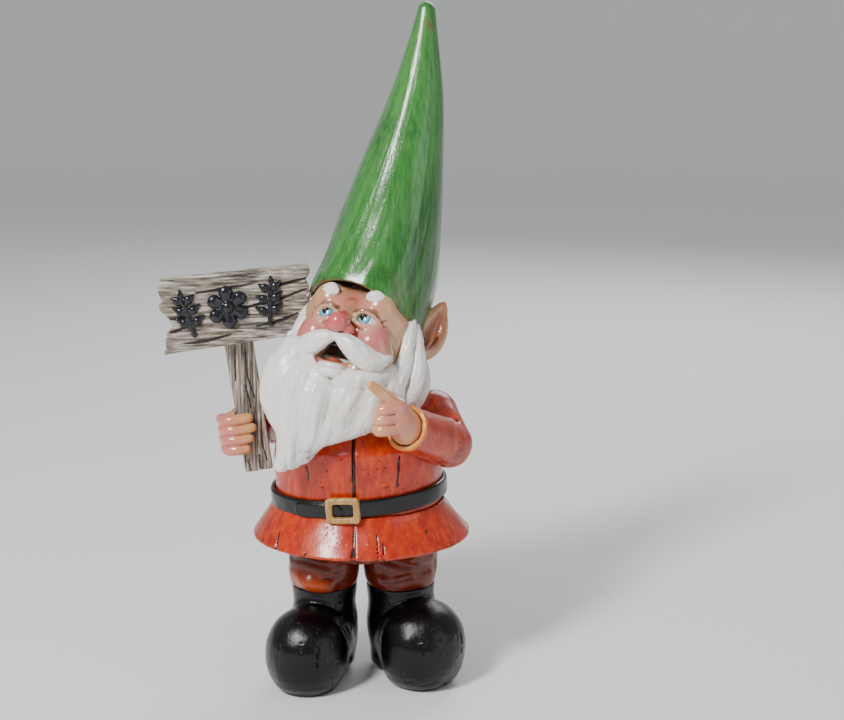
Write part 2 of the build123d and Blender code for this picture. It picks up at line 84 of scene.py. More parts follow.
def bend(balls, count=14):
    """A smooth chain through a few balls."""
    balls = np.array(balls, float)
    if len(balls) < 3:
        return balls
    padded = np.vstack([2 * balls[0] - balls[1], balls, 2 * balls[-1] - balls[-2]])
    out = []
    for i in range(len(balls) - 1):
        a, b, c, d = padded[i:i + 4]
        for t in np.linspace(0, 1, max(2, count // (len(balls) - 1)), endpoint=False):
            out.append(0.5 * (2 * b + (c - a) * t + (2 * a - 5 * b + 4 * c - d) * t**2
                              + (3 * b - a - 3 * c + d) * t**3))
    return np.array(out + [balls[-1]])


def noise(points, size, seed=0):
    """Smooth noise from 0 to 1, of a given grain size along each axis."""
    at = np.asarray(points, float) / np.array(size, float)
    cell = np.floor(at).astype(np.int64)
    part = at - cell
    part = part * part * (3 - 2 * part)
    total = np.zeros(len(at))
    for corner in range(8):
        pick = np.array([corner & 1, corner >> 1 & 1, corner >> 2 & 1])
        c = cell + pick
        mixed = c[:, 0] * 374761393 + c[:, 1] * 668265263 + c[:, 2] * 974634777 + seed * 1274126177
        mixed = mixed & 0xFFFFFFFF
        mixed = ((mixed ^ (mixed >> 13)) * 1274126177) & 0xFFFFFFFF
        value = ((mixed ^ (mixed >> 16)) & 0xFFFF) / 65535
        total += value * np.prod(np.where(pick, part, 1 - part), axis=1)
    return total


# ---------------------------------------------------------------- modelling clay
def blend_min(a, b, soft):
    """The smaller of two distances, rounded over where they are close."""
    if soft <= 0:
        return np.minimum(a, b)
    near = np.maximum(soft - np.abs(a - b), 0) / soft
    return np.minimum(a, b) - near * near * soft / 4


class Clay:
    """A block of distances to a surface, in millimetres, in which limbs are joined and hollows are cut."""

    def __init__(self, low, high, voxel=0.7):
        self.voxel = voxel * DENSE
        self.low = np.array(low, np.float32)
        count = np.ceil((np.array(high) - low) / self.voxel).astype(int) + 1
        lines = [self.low[i] + self.voxel * np.arange(count[i]) for i in range(3)]
        self.at = np.stack(np.meshgrid(*lines, indexing="ij")).astype(np.float32)
        self.depth = np.full(count, 50.0, np.float32)
        self.scores = []  # thin cuts, which hold dark wash

    def room(self, balls, spare):
        """The part of the block around a chain of balls."""
        balls = np.array(balls, float)
        first = (balls[:, :3] - balls[:, 3:4] - spare).min(0)
        last = (balls[:, :3] + balls[:, 3:4] + spare).max(0)
        top = np.array(self.depth.shape)
        a = np.clip(np.floor((first - self.low) / self.voxel).astype(int), 0, top)
        b = np.clip(np.ceil((last - self.low) / self.voxel).astype(int) + 1, 0, top)
        return tuple(slice(i, j) for i, j in zip(a, b))

    def merge(self, part, shape, soft, cut):
        old = self.depth[part]
        self.depth[part] = -blend_min(-old, shape, soft) if cut else blend_min(old, shape, soft)

    def limb(self, balls, soft=2.0, cut=False, flat=None, ridges=0, groove=0.0, turn=0.0):
        """Joins a chain of balls; flat squeezes it along an axis, and ridges groove it lengthwise."""
        balls = np.array(balls, np.float32)
        if cut and balls[:, 3].max() < 1.7:
            self.scores.append(balls)
        part = self.room(balls, soft + 4)
        at = self.at[(slice(None), *part)]
        if at.size == 0:
            return self
        shape = np.full(at.shape[1:], 99.0, np.float32)
        if len(balls) == 1:
            balls = np.vstack([balls, balls + [0, 0, 1e-3, 0]]).astype(np.float32)
        for start, end in zip(balls, balls[1:]):
            along = end[:3] - start[:3]
            offset = at - start[:3, None, None, None]
            share = np.clip(np.tensordot(along, offset, 1) / max(along @ along, 1e-9), 0, 1)
            offset -= along[:, None, None, None] * share
            if flat is not None:
                axis, squeeze = np.array(flat[0], np.float32), flat[1]
                axis /= np.linalg.norm(axis)
                offset += axis[:, None, None, None] * (np.tensordot(axis, offset, 1) * (1 / squeeze - 1))
            radius = start[3] + (end[3] - start[3]) * share
            if ridges:
                line = along / np.linalg.norm(along)
                side = np.cross(line, (0.3, -1, 0.1))
                side /= np.linalg.norm(side)
                up = np.cross(line, side)
                angle = np.arctan2(np.tensordot(up.astype(np.float32), offset, 1),
                                   np.tensordot(side.astype(np.float32), offset, 1))
                wave = np.abs(np.sin(angle * ridges / 2 + turn)) ** 0.6
                wave2 = np.abs(np.sin(angle * (ridges + 3) / 2 + 1.7 + turn)) ** 0.8
                radius = radius - groove * (1.6 - wave - 0.6 * wave2)
            shape = np.minimum(shape, np.sqrt((offset * offset).sum(0)) - radius)
        if flat is not None:
            shape = shape * flat[1] ** 0.5
        self.merge(part, shape, soft, cut)
        return self

    def ovals(self, rings, soft=0.0, cut=False):
        """Joins a stack of level ovals, each z, x, y, half width, half depth."""
        rings = np.array(sorted(rings), float)
        z = self.at[2][0, 0]
        x, y, wide, deep = (np.interp(z, rings[:, 0], rings[:, i]).astype(np.float32) for i in range(1, 5))
        ring = np.sqrt(((self.at[0] - x) / wide) ** 2 + ((self.at[1] - y) / deep) ** 2)
        shape = (ring - 1) * np.minimum(wide, deep) * 0.85
        shape = np.maximum(shape, np.maximum(rings[0, 0] - self.at[2], self.at[2] - rings[-1, 0]))
        self.merge((slice(None),) * 3, shape, soft, cut)
        return self

    def keep_side(self, normal, offset, soft=0.0):
        """Cuts away what lies beyond a plane."""
        normal = np.array(normal, np.float32)
        shape = np.tensordot(normal, self.at, 1) - offset
        self.depth = -blend_min(-self.depth, -shape, soft)
        return self

    def skin(self):
        """The surface as points and four-sided faces."""
        reach = 3 * self.voxel
        grid = openvdb.FloatGrid(reach)
        grid.copyFromArray(np.ascontiguousarray(np.clip(self.depth, -reach, reach)))
        grid.transform = openvdb.createLinearTransform(voxelSize=self.voxel)
        points, quads = grid.convertToQuads()
        points = points.astype(float) + self.low
        quads = quads.astype(np.int64)
        a, b, c, d = (points[quads[:, i]] for i in range(4))
        if np.einsum("ij,ij->i", a + c, np.cross(c - a, d - b)).sum() < 0:
            quads = quads[:, ::-1]
        return points, quads


def normals(points, quads):
    a, b, c, d = (points[quads[:, i]] for i in range(4))
    face = np.cross(c - a, d - b)
    out = np.stack([np.bincount(quads.ravel(), np.repeat(face[:, i], 4), len(points)) for i in range(3)], 1)
    return out / np.maximum(np.linalg.norm(out, axis=1, keepdims=True), 1e-12)


def relaxed(values, quads, rounds):
    """Values averaged with their neighbours' a number of times."""
    here = quads.ravel()
    there = np.roll(quads, 1, axis=1).ravel()
    ends, other = np.concatenate([here, there]), np.concatenate([there, here])
    count = np.maximum(np.bincount(ends, minlength=len(values)), 1)
    for _ in range(rounds):
        values = np.stack([np.bincount(ends, values[other, i], len(values)) / count
                           for i in range(values.shape[1])], 1)
    return values


def hollows(points, quads, rounds=10, scale=0.35):
    """How far each point lies in a crease, from -1 on an edge to 1 in a groove."""
    lift = ((relaxed(points, quads, rounds) - points) * normals(points, quads)).sum(1)
    return np.clip(relaxed(lift[:, None], quads, 2)[:, 0] / scale, -1, 1)


def scored(points, lines, spare=0.3):
    """1 along the thin cuts of a piece of clay, fading to 0 beside them."""
    share = np.zeros(len(points))
    for line in lines:
        for start, end in zip(line, line[1:]):
            reach = np.linalg.norm(end[:3] - start[:3]) / 2 + 4
            close = np.abs(points - (start[:3] + end[:3]) / 2).max(1) < reach
            if not close.any():
                continue
            along = end[:3] - start[:3]
            t = np.clip((points[close] - start[:3]) @ along / max(along @ along, 1e-9), 0, 1)
            far = np.linalg.norm(points[close] - start[:3] - t[:, None] * along, axis=1)
            radius = start[3] + (end[3] - start[3]) * t
            share[close] = np.maximum(share[close], np.clip((radius + spare - far) / spare, 0, 1))
    return share


def near(points, centre, radius, soft=0.5):
    """1 inside a ball, fading to 0 past its edge."""
    far = np.linalg.norm(points - np.array(centre, float), axis=1)
    return np.clip((radius - far) / (radius * soft) + 0.5, 0, 1)


def uneven(points, quads, size, seed, height, where=1.0):
    """Moves a surface in and out by noise, for the unevenness of something sculpted by hand."""
    lift = (noise(points, size, seed) - 0.5) * height * where
    return points + normals(points, quads) * lift[:, None]


def tint(base, points):
    return np.tile(np.array(base, float), (len(points), 1))


def mix(colours, other, share):
    return colours * (1 - share[:, None]) + np.array(other, float) * share[:, None]


RICHER, DEEPER = 1.12, 0.8  # the renderer's film curve mutes colours, so the paints start out stronger


def linear(*srgb):
    """A colour given as 0 to 255 sRGB, in Blender's linear values, made richer and deeper."""
    value = np.array(srgb, float) / 255
    value = np.where(value <= 0.04045, value / 12.92, ((value + 0.055) / 1.055) ** 2.4)
    grey = value @ (0.25, 0.6, 0.15)
    bright = DEEPER + (1 - DEEPER) * min(value) ** 0.5
    return np.clip(grey + (value - grey) * RICHER, 0.0, 1) * bright


pieces = {}


def piece(name, points, quads, material, body="figure", stands_for=(), paint=None, crease=None,
          axes=WORLD, scores=()):
    """Makes a visible piece from points in a set of axes, and puts it on a body."""
    local_points, points = points, out_of(axes, points)
    mesh = bpy.data.meshes.new(name)
    mesh.vertices.add(len(points))
    mesh.vertices.foreach_set("co", (points / 1000 + AXIS).astype(np.float32).ravel())
    mesh.loops.add(quads.size)
    mesh.loops.foreach_set("vertex_index", quads.astype(np.int32).ravel())
    mesh.polygons.add(len(quads))
    mesh.polygons.foreach_set("loop_start", np.arange(0, quads.size, quads.shape[1], dtype=np.int32))
    mesh.update(calc_edges=True)
    mesh.validate()
    mesh.shade_smooth()
    if paint is not None:
        colours = np.concatenate([np.clip(paint, 0, 1), np.ones((len(points), 1))], 1)
        mesh.attributes.new("paint", "FLOAT_COLOR", "POINT").data.foreach_set(
            "color", colours.astype(np.float32).ravel())
    crease = hollows(local_points, quads) if crease is None else crease
    crease = np.clip(np.maximum(crease, scored(local_points, scores)), -1, 1)
    mesh.attributes.new("crease", "FLOAT", "POINT").data.foreach_set("value", crease.astype(np.float32))
    mesh.materials.append(material)
    thing = bpy.data.objects.new(name, mesh)
    bpy.context.scene.collection.objects.link(thing)
    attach(thing, body)
    if stands_for:
        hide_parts(*stands_for)
    pieces[name] = thing
    return thing


# ---------------------------------------------------------------- materials
class Paint:
    """A node material: base colour, streaks, a dark wash in the creases that is part dirt and part painted
    shade, wear and painted highlights on the edges, specks and bumps.
    """

    def __init__(self, name, rough=0.3, coat=0.6, metallic=0.0, shine=0.5):
        self.made = bpy.data.materials.new(name)
        self.made.use_nodes = True
        self.tree = self.made.node_tree
        self.shader = self.tree.nodes["Principled BSDF"]
        self.shader.inputs["Roughness"].default_value = rough
        self.shader.inputs["Coat Weight"].default_value = coat
        self.shader.inputs["Coat Roughness"].default_value = 0.16
        self.shader.inputs["Metallic"].default_value = metallic
        self.shader.inputs["Specular IOR Level"].default_value = shine
        self.place = self.node("ShaderNodeTexCoord").outputs["Object"]
        self.colour = None
        self.bumps = None

    def node(self, kind, **inputs):
        made = self.tree.nodes.new(kind)
        for name, value in inputs.items():
            self.put(made.inputs[name.replace("_", " ")], value)
        return made

    def put(self, socket, value):
        if isinstance(value, bpy.types.NodeSocket):
            self.tree.links.new(value, socket)
        elif hasattr(value, "__len__") and len(value) == 3 and socket.type == "RGBA":
            socket.default_value = (*value, 1)
        else:
            socket.default_value = value

    def attribute(self, name, socket="Fac"):
        made = self.tree.nodes.new("ShaderNodeAttribute")
        made.attribute_name = name
        return made.outputs[socket]

    def stretched(self, scale, turn=(0, 0, 0)):
        """Object coordinates in units of 1 / scale metres, so that noise is drawn out along one axis."""
        made = self.node("ShaderNodeMapping", Vector=self.place)
        made.inputs["Scale"].default_value = scale
        made.inputs["Rotation"].default_value = [np.radians(t) for t in turn]
        return made.outputs["Vector"]

    def grain(self, scale, detail=4.0, roughness=0.6, turn=(0, 0, 0)):
        made = self.node("ShaderNodeTexNoise", Vector=self.stretched(scale, turn), Scale=1.0, Detail=detail,
                         Roughness=roughness)
        return made.outputs["Fac"]

    def ramp(self, value, first, last, out=(0.0, 1.0)):
        made = self.node("ShaderNodeMapRange", Value=value)
        made.interpolation_type = "SMOOTHSTEP"
        for socket, number in zip(("From Min", "From Max", "To Min", "To Max"), (first, last, *out)):
            made.inputs[socket].default_value = number
        return made.outputs["Result"]

    def times(self, a, b):
        made = self.tree.nodes.new("ShaderNodeMath")
        made.operation = "MULTIPLY"
        self.put(made.inputs[0], a)
        self.put(made.inputs[1], b)
        return made.outputs[0]

    def over(self, share, colour, kind="MIX"):
        """Lays a colour over what is there."""
        made = self.tree.nodes.new("ShaderNodeMix")
        made.data_type = "RGBA"
        made.blend_type = kind
        self.put(made.inputs[0], share)
        self.put(made.inputs[6], self.colour)
        self.put(made.inputs[7], colour)
        self.colour = made.outputs[2]
        return self

    def bump(self, height, distance, strength=1.0):
        made = self.node("ShaderNodeBump", Height=height)
        made.inputs["Distance"].default_value = distance
        made.inputs["Strength"].default_value = strength
        if self.bumps is not None:
            self.tree.links.new(self.bumps, made.inputs["Normal"])
        self.bumps = made.outputs["Normal"]
        return self

    def done(self):
        self.put(self.shader.inputs["Base Color"], self.colour)
        if self.bumps is not None:
            self.tree.links.new(self.bumps, self.shader.inputs["Normal"])
            self.tree.links.new(self.bumps, self.shader.inputs["Coat Normal"])
        return self.made


def resin(name, base=None, light=None, dark=None, crease_dirt_and_shade=None, edge_wear_and_highlight=None, streak=(500, 500, 60), rough=0.28,
          coat=0.6, pits=0.3, crease_dirt_and_shade_from=0.05, crease_dirt_and_shade_to=0.8, edge_wear_and_highlight_share=0.5, specks=None, bump=0.00018,
          patches=0.5, shine=0.5):
    """Painted resin: brushed colour, with a dark wash in creases that is part dirt and part painted shade,
    and paler edges that are part wear and part painted highlight.
    """
    paint = Paint(name, rough, coat, shine=shine)
    paint.colour = paint.attribute("paint", "Color") if base is None else base
    cloud = paint.grain((38, 38, 38), 3)
    brushed = paint.grain(streak, 5, 0.65)
    if dark is not None:
        paint.over(paint.times(paint.ramp(cloud, 0.45, 0.75), patches), dark)
        paint.over(paint.times(paint.ramp(brushed, 0.5, 0.75), patches * 0.7), dark)
    if light is not None:
        paint.over(paint.times(paint.ramp(brushed, 0.55, 0.35), patches), light)
    crease = paint.attribute("crease")
    # a paler colour on outward edges from the crease measure: part worn paint and part painted highlight
    if edge_wear_and_highlight is not None:
        broken = paint.grain((260, 260, 260), 4, 0.7)
        share = paint.times(paint.ramp(crease, -0.15, -0.75), paint.ramp(broken, 0.35, 0.65))
        paint.over(paint.times(share, edge_wear_and_highlight_share), edge_wear_and_highlight)
    # a dark colour laid in the creases from the crease measure: part dirt and part painted shade in the
    # hollows
    if crease_dirt_and_shade is not None:
        paint.over(paint.ramp(crease, crease_dirt_and_shade_from, crease_dirt_and_shade_to), crease_dirt_and_shade)
    holes = paint.node("ShaderNodeTexVoronoi", Vector=paint.stretched((430, 430, 430)), Scale=1.0)
    where = paint.ramp(paint.grain((60, 60, 60), 2), 0.52, 0.66)
    hole = paint.times(paint.ramp(holes.outputs["Distance"], 0.26, 0.12), where)
    if crease_dirt_and_shade is not None and pits:
        paint.over(paint.times(hole, min(1.0, pits * 2)), crease_dirt_and_shade)
    if specks is not None:
        dots = paint.node("ShaderNodeTexVoronoi", Vector=paint.stretched((700, 700, 700)), Scale=1.0)
        spot = paint.ramp(paint.grain((55, 55, 55), 2), 0.58, 0.7)
        paint.over(paint.times(paint.ramp(dots.outputs["Distance"], 0.2, 0.08), spot), specks)
    paint.bump(paint.times(hole, -pits), 0.0006)
    paint.bump(brushed, bump, 0.7)
    paint.bump(cloud, 0.0008, 0.25)
    return paint.done()


def timber(name, along, across):
    """Weathered, grey-brown wood with paler dry-brushed ridges that also serve as painted highlights, and
    dark grooves that are part grime and part painted shade.
    """
    paint = Paint(name, 0.62, 0.12)
    paint.colour = linear(146, 139, 129)
    fine = paint.grain(along, 6, 0.7)
    broad = paint.grain(across, 4, 0.6)
    paint.over(paint.ramp(broad, 0.4, 0.7), linear(112, 104, 94))
    paint.over(paint.ramp(fine, 0.5, 0.6), linear(206, 200, 190))
    paint.over(paint.ramp(fine, 0.47, 0.39), linear(62, 54, 46))
    cloud = paint.grain((45, 45, 45), 3)
    paint.over(paint.times(paint.ramp(cloud, 0.5, 0.7), 0.4), linear(152, 132, 106))
    crease = paint.attribute("crease")
    # paler on the ridges: part bleached wood and part painted highlight
    paint.over(paint.times(paint.ramp(crease, -0.2, -0.8), 0.5), linear(200, 194, 184))
    # dark in the grooves: part grime and part painted shade
    paint.over(paint.ramp(crease, 0.1, 0.75), linear(36, 27, 21))
    paint.bump(fine, 0.0009, 1.0)
    paint.bump(broad, 0.0004, 0.5)
    return paint.done()


GREEN = resin("green_paint", light=linear(88, 146, 80), dark=linear(20, 72, 22), crease_dirt_and_shade=linear(74, 66, 30),
              edge_wear_and_highlight=linear(110, 156, 84), streak=(420, 420, 9), rough=0.22, coat=0.8, pits=0.35,
              edge_wear_and_highlight_share=0.3, bump=0.0003, patches=0.5, shine=0.4)
RED = resin("red_paint", linear(190, 54, 12), light=linear(216, 90, 26), dark=linear(112, 26, 8),
            crease_dirt_and_shade=linear(34, 9, 5), edge_wear_and_highlight=linear(226, 116, 42), streak=(260, 260, 70), rough=0.3, coat=0.5,
            pits=0.9, specks=linear(26, 10, 6), edge_wear_and_highlight_share=0.7, patches=0.6, shine=0.35)
CUFF = resin("cuff_paint", light=linear(232, 132, 62), dark=linear(176, 62, 22), crease_dirt_and_shade=linear(70, 24, 12),
             rough=0.35, coat=0.4, pits=0.2)
TROUSER = resin("brown_paint", light=linear(136, 50, 22), dark=linear(76, 22, 10), crease_dirt_and_shade=linear(62, 18, 8),
                edge_wear_and_highlight=linear(170, 74, 46), streak=(300, 300, 60), rough=0.34, coat=0.4, pits=0.4,
                crease_dirt_and_shade_from=0.3, shine=0.3)
BLACK = resin("boot_paint", linear(5, 5, 7), light=linear(12, 14, 24), dark=linear(2, 2, 3),
              crease_dirt_and_shade=linear(1, 1, 2), edge_wear_and_highlight=linear(84, 92, 122), streak=(420, 420, 40), rough=0.25, coat=0.3,
              pits=0.6, specks=linear(150, 132, 76), edge_wear_and_highlight_share=0.45, bump=0.0005, shine=0.22)
LEATHER = resin("belt_paint", linear(7, 7, 9), light=linear(16, 17, 24), dark=linear(2, 2, 3),
                crease_dirt_and_shade=linear(1, 1, 2), edge_wear_and_highlight=linear(70, 74, 90), streak=(70, 70, 500), rough=0.3, coat=0.35,
                pits=0.3, edge_wear_and_highlight_share=0.3, shine=0.3)
GOLD = resin("gold_paint", linear(178, 138, 84), light=linear(214, 182, 128), dark=linear(126, 84, 40),
             crease_dirt_and_shade=linear(66, 36, 16), edge_wear_and_highlight=linear(230, 206, 160), rough=0.36, coat=0.4, pits=0.6,
             crease_dirt_and_shade_from=0.0, crease_dirt_and_shade_to=0.6)
SKIN = resin("skin_paint", light=None, dark=linear(190, 124, 82), crease_dirt_and_shade=linear(126, 62, 38),
             streak=(240, 240, 160), rough=0.24, coat=0.85, pits=0.12, crease_dirt_and_shade_from=0.15, crease_dirt_and_shade_to=1.0,
             bump=0.0001, patches=0.3)
WHITE = resin("white_paint", light=linear(252, 252, 250), dark=linear(214, 213, 210),
              crease_dirt_and_shade=linear(142, 134, 126), edge_wear_and_highlight=linear(255, 255, 255), streak=(520, 520, 60), rough=0.33,
              coat=0.5, pits=0.2, crease_dirt_and_shade_from=0.25, crease_dirt_and_shade_to=1.25, bump=0.0002, patches=0.4)
MOTIF = resin("motif_paint", linear(8, 10, 20), light=linear(20, 26, 48), dark=linear(3, 3, 6),
              crease_dirt_and_shade=linear(2, 2, 3), edge_wear_and_highlight=linear(92, 102, 134), streak=(300, 300, 120), rough=0.24,
              coat=0.6, pits=0.3, edge_wear_and_highlight_share=0.35, shine=0.35)
EYE = resin("eye_paint", rough=0.08, coat=1.0, pits=0.0, bump=0.00002)
BOARD = timber("weathered_wood_board", (26, 300, 620), (14, 120, 190))
POST = timber("weathered_wood_post", (620, 620, 24), (190, 190, 14))


def metal(name, colour, dark, rough, metallic):
    """A bare or dull piece: brushed lines and small dark pits."""
    paint = Paint(name, rough, 0.1, metallic)
    paint.colour = colour
    lines = paint.grain((900, 900, 40), 5, 0.7)
    paint.over(paint.times(paint.ramp(lines, 0.45, 0.7), 0.5), dark)
    paint.over(paint.times(paint.ramp(paint.grain((120, 120, 120), 4), 0.55, 0.75), 0.5), dark)
    paint.bump(lines, 0.0002, 0.5)
    return paint.done()


STEEL = metal("steel", linear(165, 165, 168), linear(90, 88, 86), 0.38, 1.0)
BALLAST = metal("ballast", linear(150, 146, 138), linear(96, 92, 86), 0.9, 0.0)
RUBBER = metal("plug", linear(34, 34, 36), linear(18, 18, 19), 0.7, 0.0)
PEG = metal("peg_resin", linear(206, 198, 180), linear(160, 150, 130), 0.5, 0.0)
for name, node in NODES.items():
    words = {"rod": STEEL, "plate": STEEL, "screws": STEEL, "pin": STEEL, "ballast": BALLAST,
             "plug": RUBBER, "peg": PEG, "sole": BLACK}
    chosen = next((finish for word, finish in words.items() if word in name), None)
    if chosen is not None:
        node.data.materials.clear()
        node.data.materials.append(chosen)

TAN, PINK, PALE = linear(198, 158, 122), linear(204, 120, 118), linear(224, 194, 160)
IVORY = linear(236, 236, 232)

# ---------------------------------------------------------------- face
clay = Clay((-42, -54, -36), (42, 6, 38), 0.55)
clay.limb([(0, 0, 0, 33.5)], 0)
clay.limb([(-15, -23.5, 17, 8.5)], 7).limb([(15, -23.5, 17, 8.5)], 7)
clay.limb([(-17, -22, 14, 8.5), (-24, -14, 10, 8)], 5)
clay.limb([(17, -22, 14, 8.5), (24, -14, 10, 8)], 5)
for side in (-1, 1):
    clay.limb([(side * 9.8, -38, 5.2, 5.6), (side * 14.8, -35, 5.2, 5.6)], 3.5, cut=True)  # eye socket
    clay.limb([(side * 17, -23.5, -6.5, 11.0)], 3)  # cheek
    clay.limb([(side * 21, -20, -14, 9.5), (side * 13, -22, -24, 10)], 5)  # jaw
clay.limb([(0, -29.5, 11, 4.2), (0, -32.5, 7, 3.8), (0, -37.5, 0, 4.8)], 3)
clay.limb([(0, -41.4, -2.6, 6.1)], 2.5)
for side in (-1, 1):
    clay.limb([(side * 5.2, -36.8, -5.2, 4.0)], 1.6)
    clay.limb([(side * 3.0, -41, -10.5, 2.0), (side * 3.4, -37, -8, 1.6)], 1.4, cut=True)  # nostril
    lid = bend([(side * 4.6, -32.2, 3.8, 0.9), (side * 7.8, -33.9, 7.6, 1.7),
                (side * 12.0, -33.6, 9.0, 2.1),
                (side * 16.4, -31.2, 7.2, 1.8), (side * 20.2, -27.6, 3.2, 1.0)])
    clay.limb(lid, 2.2)
    lower = bend([(side * 4.6, -32.4, 3.4, 0.9), (side * 8.2, -33.8, 0.9, 1.4),
                  (side * 12.6, -33.0, 0.2, 1.5),
                  (side * 17.0, -30.0, 1.4, 1.3), (side * 20.2, -27.6, 3.0, 1.0)])
    clay.limb(lower, 2.0)
    fold = bend([(side * 9.2, -34.5, -4.5, 0.8), (side * 11.5, -34.6, -10.5, 1.1),
                 (side * 15, -33, -16, 0.8)])
    clay.limb(fold, 1.6, cut=True)
    for crow in (-1.5, 0.6, 2.8):
        clay.limb([(side * 20.5, -27.6, 3.0 + crow, 0.45), (side * 24.5, -24.4, 3.6 + crow * 2.2, 0.25)],
                  0.9, cut=True)
for height, bow in ((21.5, 1.5), (26.0, 2.0)):
    clay.limb(bend([(-11, -28.0 + (height - 21) * 0.55, height - bow, 0.6),
                    (0, -32.6 + (height - 21) * 0.62, height + bow * 0.4, 0.9),
                    (11, -28.0 + (height - 21) * 0.55, height - bow, 0.6)]), 1.8, cut=True)
clay.limb(bend([(-7.2, -31, -24.4, 2.2), (-4, -34.0, -26.6, 2.6), (0, -34.8, -27, 2.7),
                (4, -34.0, -26.6, 2.6),
                (7.2, -31, -24.4, 2.2)]), 1.5)  # lower lip
clay.limb([(-5.4, -38, -18.5, 3.4), (0, -38.5, -18, 4.9), (5.4, -38, -18.5, 3.4)], 1.2, cut=True)
clay.limb([(-5.6, -31, -18.5, 4.4), (5.6, -31, -18.5, 4.4)], 1.2, cut=True)
clay.limb([(-3.5, -27, -20, 5.6), (3.5, -27, -20, 5.6)], 1.2, cut=True)
clay.limb(bend([(-5, -27, -25, 3.2), (0, -31.5, -24.4, 3.4), (5, -27, -25, 3.2)]), 1.0)  # tongue
clay.keep_side((0, 1, 0), -0.3)
points, quads = clay.skin()
paint = tint(TAN, points)
for side in (-1, 1):
    paint = mix(paint, PINK, near(points, (side * 17.5, -33, -5.5), 12.2, 0.35) * 0.95)
    paint = mix(paint, PALE, near(points, (side * 12, -34, 3.5), 8.6, 0.5) * 0.5)
paint = mix(paint, linear(206, 100, 98), near(points, (0, -43, -1.5), 8.6, 0.3))
for side in (-1, 1):
    paint = mix(paint, linear(206, 100, 98), near(points, (side * 6.2, -37, -4.5), 5.4, 0.3))
    paint = mix(paint, linear(214, 128, 116), near(points, (side * 12, -31, 14.5), 7.0, 0.7) * 0.6)
paint = mix(paint, linear(200, 108, 104), near(points, (0, -33, 13.5), 6.4, 0.7) * 0.7)
paint = mix(paint, linear(214, 124, 112), near(points, (0, -31, 22), 7.5, 0.8) * 0.6)
lip = np.clip((-22.6 - points[:, 2]) / 1.0, 0, 1) * (np.abs(points[:, 0]) < 11) * (points[:, 1] < -30)
paint = mix(paint, linear(206, 138, 124), lip)
paint = mix(paint, IVORY, np.clip((-25.4 - points[:, 2]) / 0.8, 0, 1) * (np.abs(points[:, 0]) < 13)
            * (points[:, 1] < -27))
mouth = near(points, (0, -31, -18.5), 8.4, 0.25) * (points[:, 1] > -35.6) * (np.abs(points[:, 0]) < 10.5)
mouth = np.maximum(mouth, near(points, (0, -26, -20), 9.0, 0.2))
paint = mix(paint, linear(40, 14, 10), np.clip(mouth, 0, 1))
tongue = near(points, (0, -31, -23.5), 4.5, 0.4) * (points[:, 2] < -20.5)
paint = mix(paint, linear(176, 84, 78), tongue)
for side in (-1, 1):
    rim = np.abs(np.linalg.norm((points - (side * 12.4, -33, 5.0)) / (7.8, 9, 4.2), axis=1) - 1.0) < 0.16
    lash = rim & (points[:, 2] > 6.6) & (points[:, 1] < -27)
    paint = mix(paint, linear(60, 30, 22), relaxed(lash[:, None].astype(float), quads, 1)[:, 0] * 0.85)
piece("painted_face", points, quads, SKIN, stands_for=["face"], paint=paint, axes=HEAD)


for side_name, x in (("right", -11.8), ("left", 11.8)):
    block = Clay((x - 10, -35, -5), (x + 10, -14, 16), 0.3)
    block.limb([(x, -24.6, 5.0, 8.3)], 0)
    points, quads = block.skin()
    gaze = np.array([-0.16, -1.0, 0.06])
    gaze /= np.linalg.norm(gaze)
    away = points - (x, -24.6, 5.0)
    away /= np.linalg.norm(away, axis=1, keepdims=True)
    spread = np.degrees(np.arccos(np.clip(away @ gaze, -1, 1)))
    paint = tint(linear(214, 226, 226), points)
    paint = mix(paint, linear(38, 122, 168), np.clip((33 - spread) / 3, 0, 1))
    # lighter blue only in the lower iris; the upper iris keeps the darker ring colour as painted shade
    # under the lid
    paint = mix(paint, linear(120, 200, 222), np.clip((27 - spread) / 6, 0, 1)
                * (away[:, 2] < gaze[2] + 0.12))
    paint = mix(paint, linear(6, 7, 10), np.clip((16.5 - spread) / 2, 0, 1))
    # painted shade: the top of the eyeball darkened under the upper lid
    paint = mix(paint, linear(16, 14, 16), np.clip((away[:, 2] - 0.40) / 0.06, 0, 1))
    spark = away - (gaze + np.array([-0.09, 0, 0.14]))
    paint = mix(paint, linear(255, 255, 255), np.clip((0.085 - np.linalg.norm(spark, axis=1)) / 0.03, 0, 1))
    paint = mix(paint, linear(84, 170, 190), np.clip((-away[:, 2] - 0.28) / 0.2, 0, 1) * 0.35)
    piece(f"{side_name}_eye", points, quads, EYE, paint=paint, axes=HEAD,
          crease=np.zeros(len(points)))

# back of the head, hidden under the hair and the hat
clay = Clay((-40, -6, -40), (40, 40, 40), 1.1)
clay.limb([(0, 0, 0, 33.5)], 0).keep_side((0, -1, 0), -0.3)
points, quads = clay.skin()
piece("painted_skull", points, quads, SKIN, stands_for=["skull"],
      paint=tint(TAN, points), axes=HEAD)

# ---------------------------------------------------------------- eyebrows and moustache
for side_name, side in (("right", -1), ("left", 1)):
    clay = Clay((-32, -42, 6), (32, -18, 30), 0.4)
    for rise, thick in ((1.7, 0.72), (0.0, 0.8), (-1.8, 0.66)):
        brow = bend([(side * 9.6, -32.0, 18.2 + rise * 0.6, 1.8 * thick),
                     (side * 13.4, -31.0, 19.0 + rise, 3.9 * thick),
                     (side * 17.6, -28.4, 17.2 + rise * 1.2, 4.3 * thick),
                     (side * 21.4, -25.2, 13.6 + rise, 3.2 * thick),
                     (side * 23.6, -23.2, 10.4 + rise * 0.6, 1.5)])
        clay.limb(brow, 0.4, ridges=8, groove=0.5, turn=rise)
    points, quads = clay.skin()
    piece(f"painted_{side_name}_eyebrow", points, quads, WHITE, stands_for=[f"{side_name}_eyebrow"],
          paint=tint(IVORY, points), axes=HEAD)

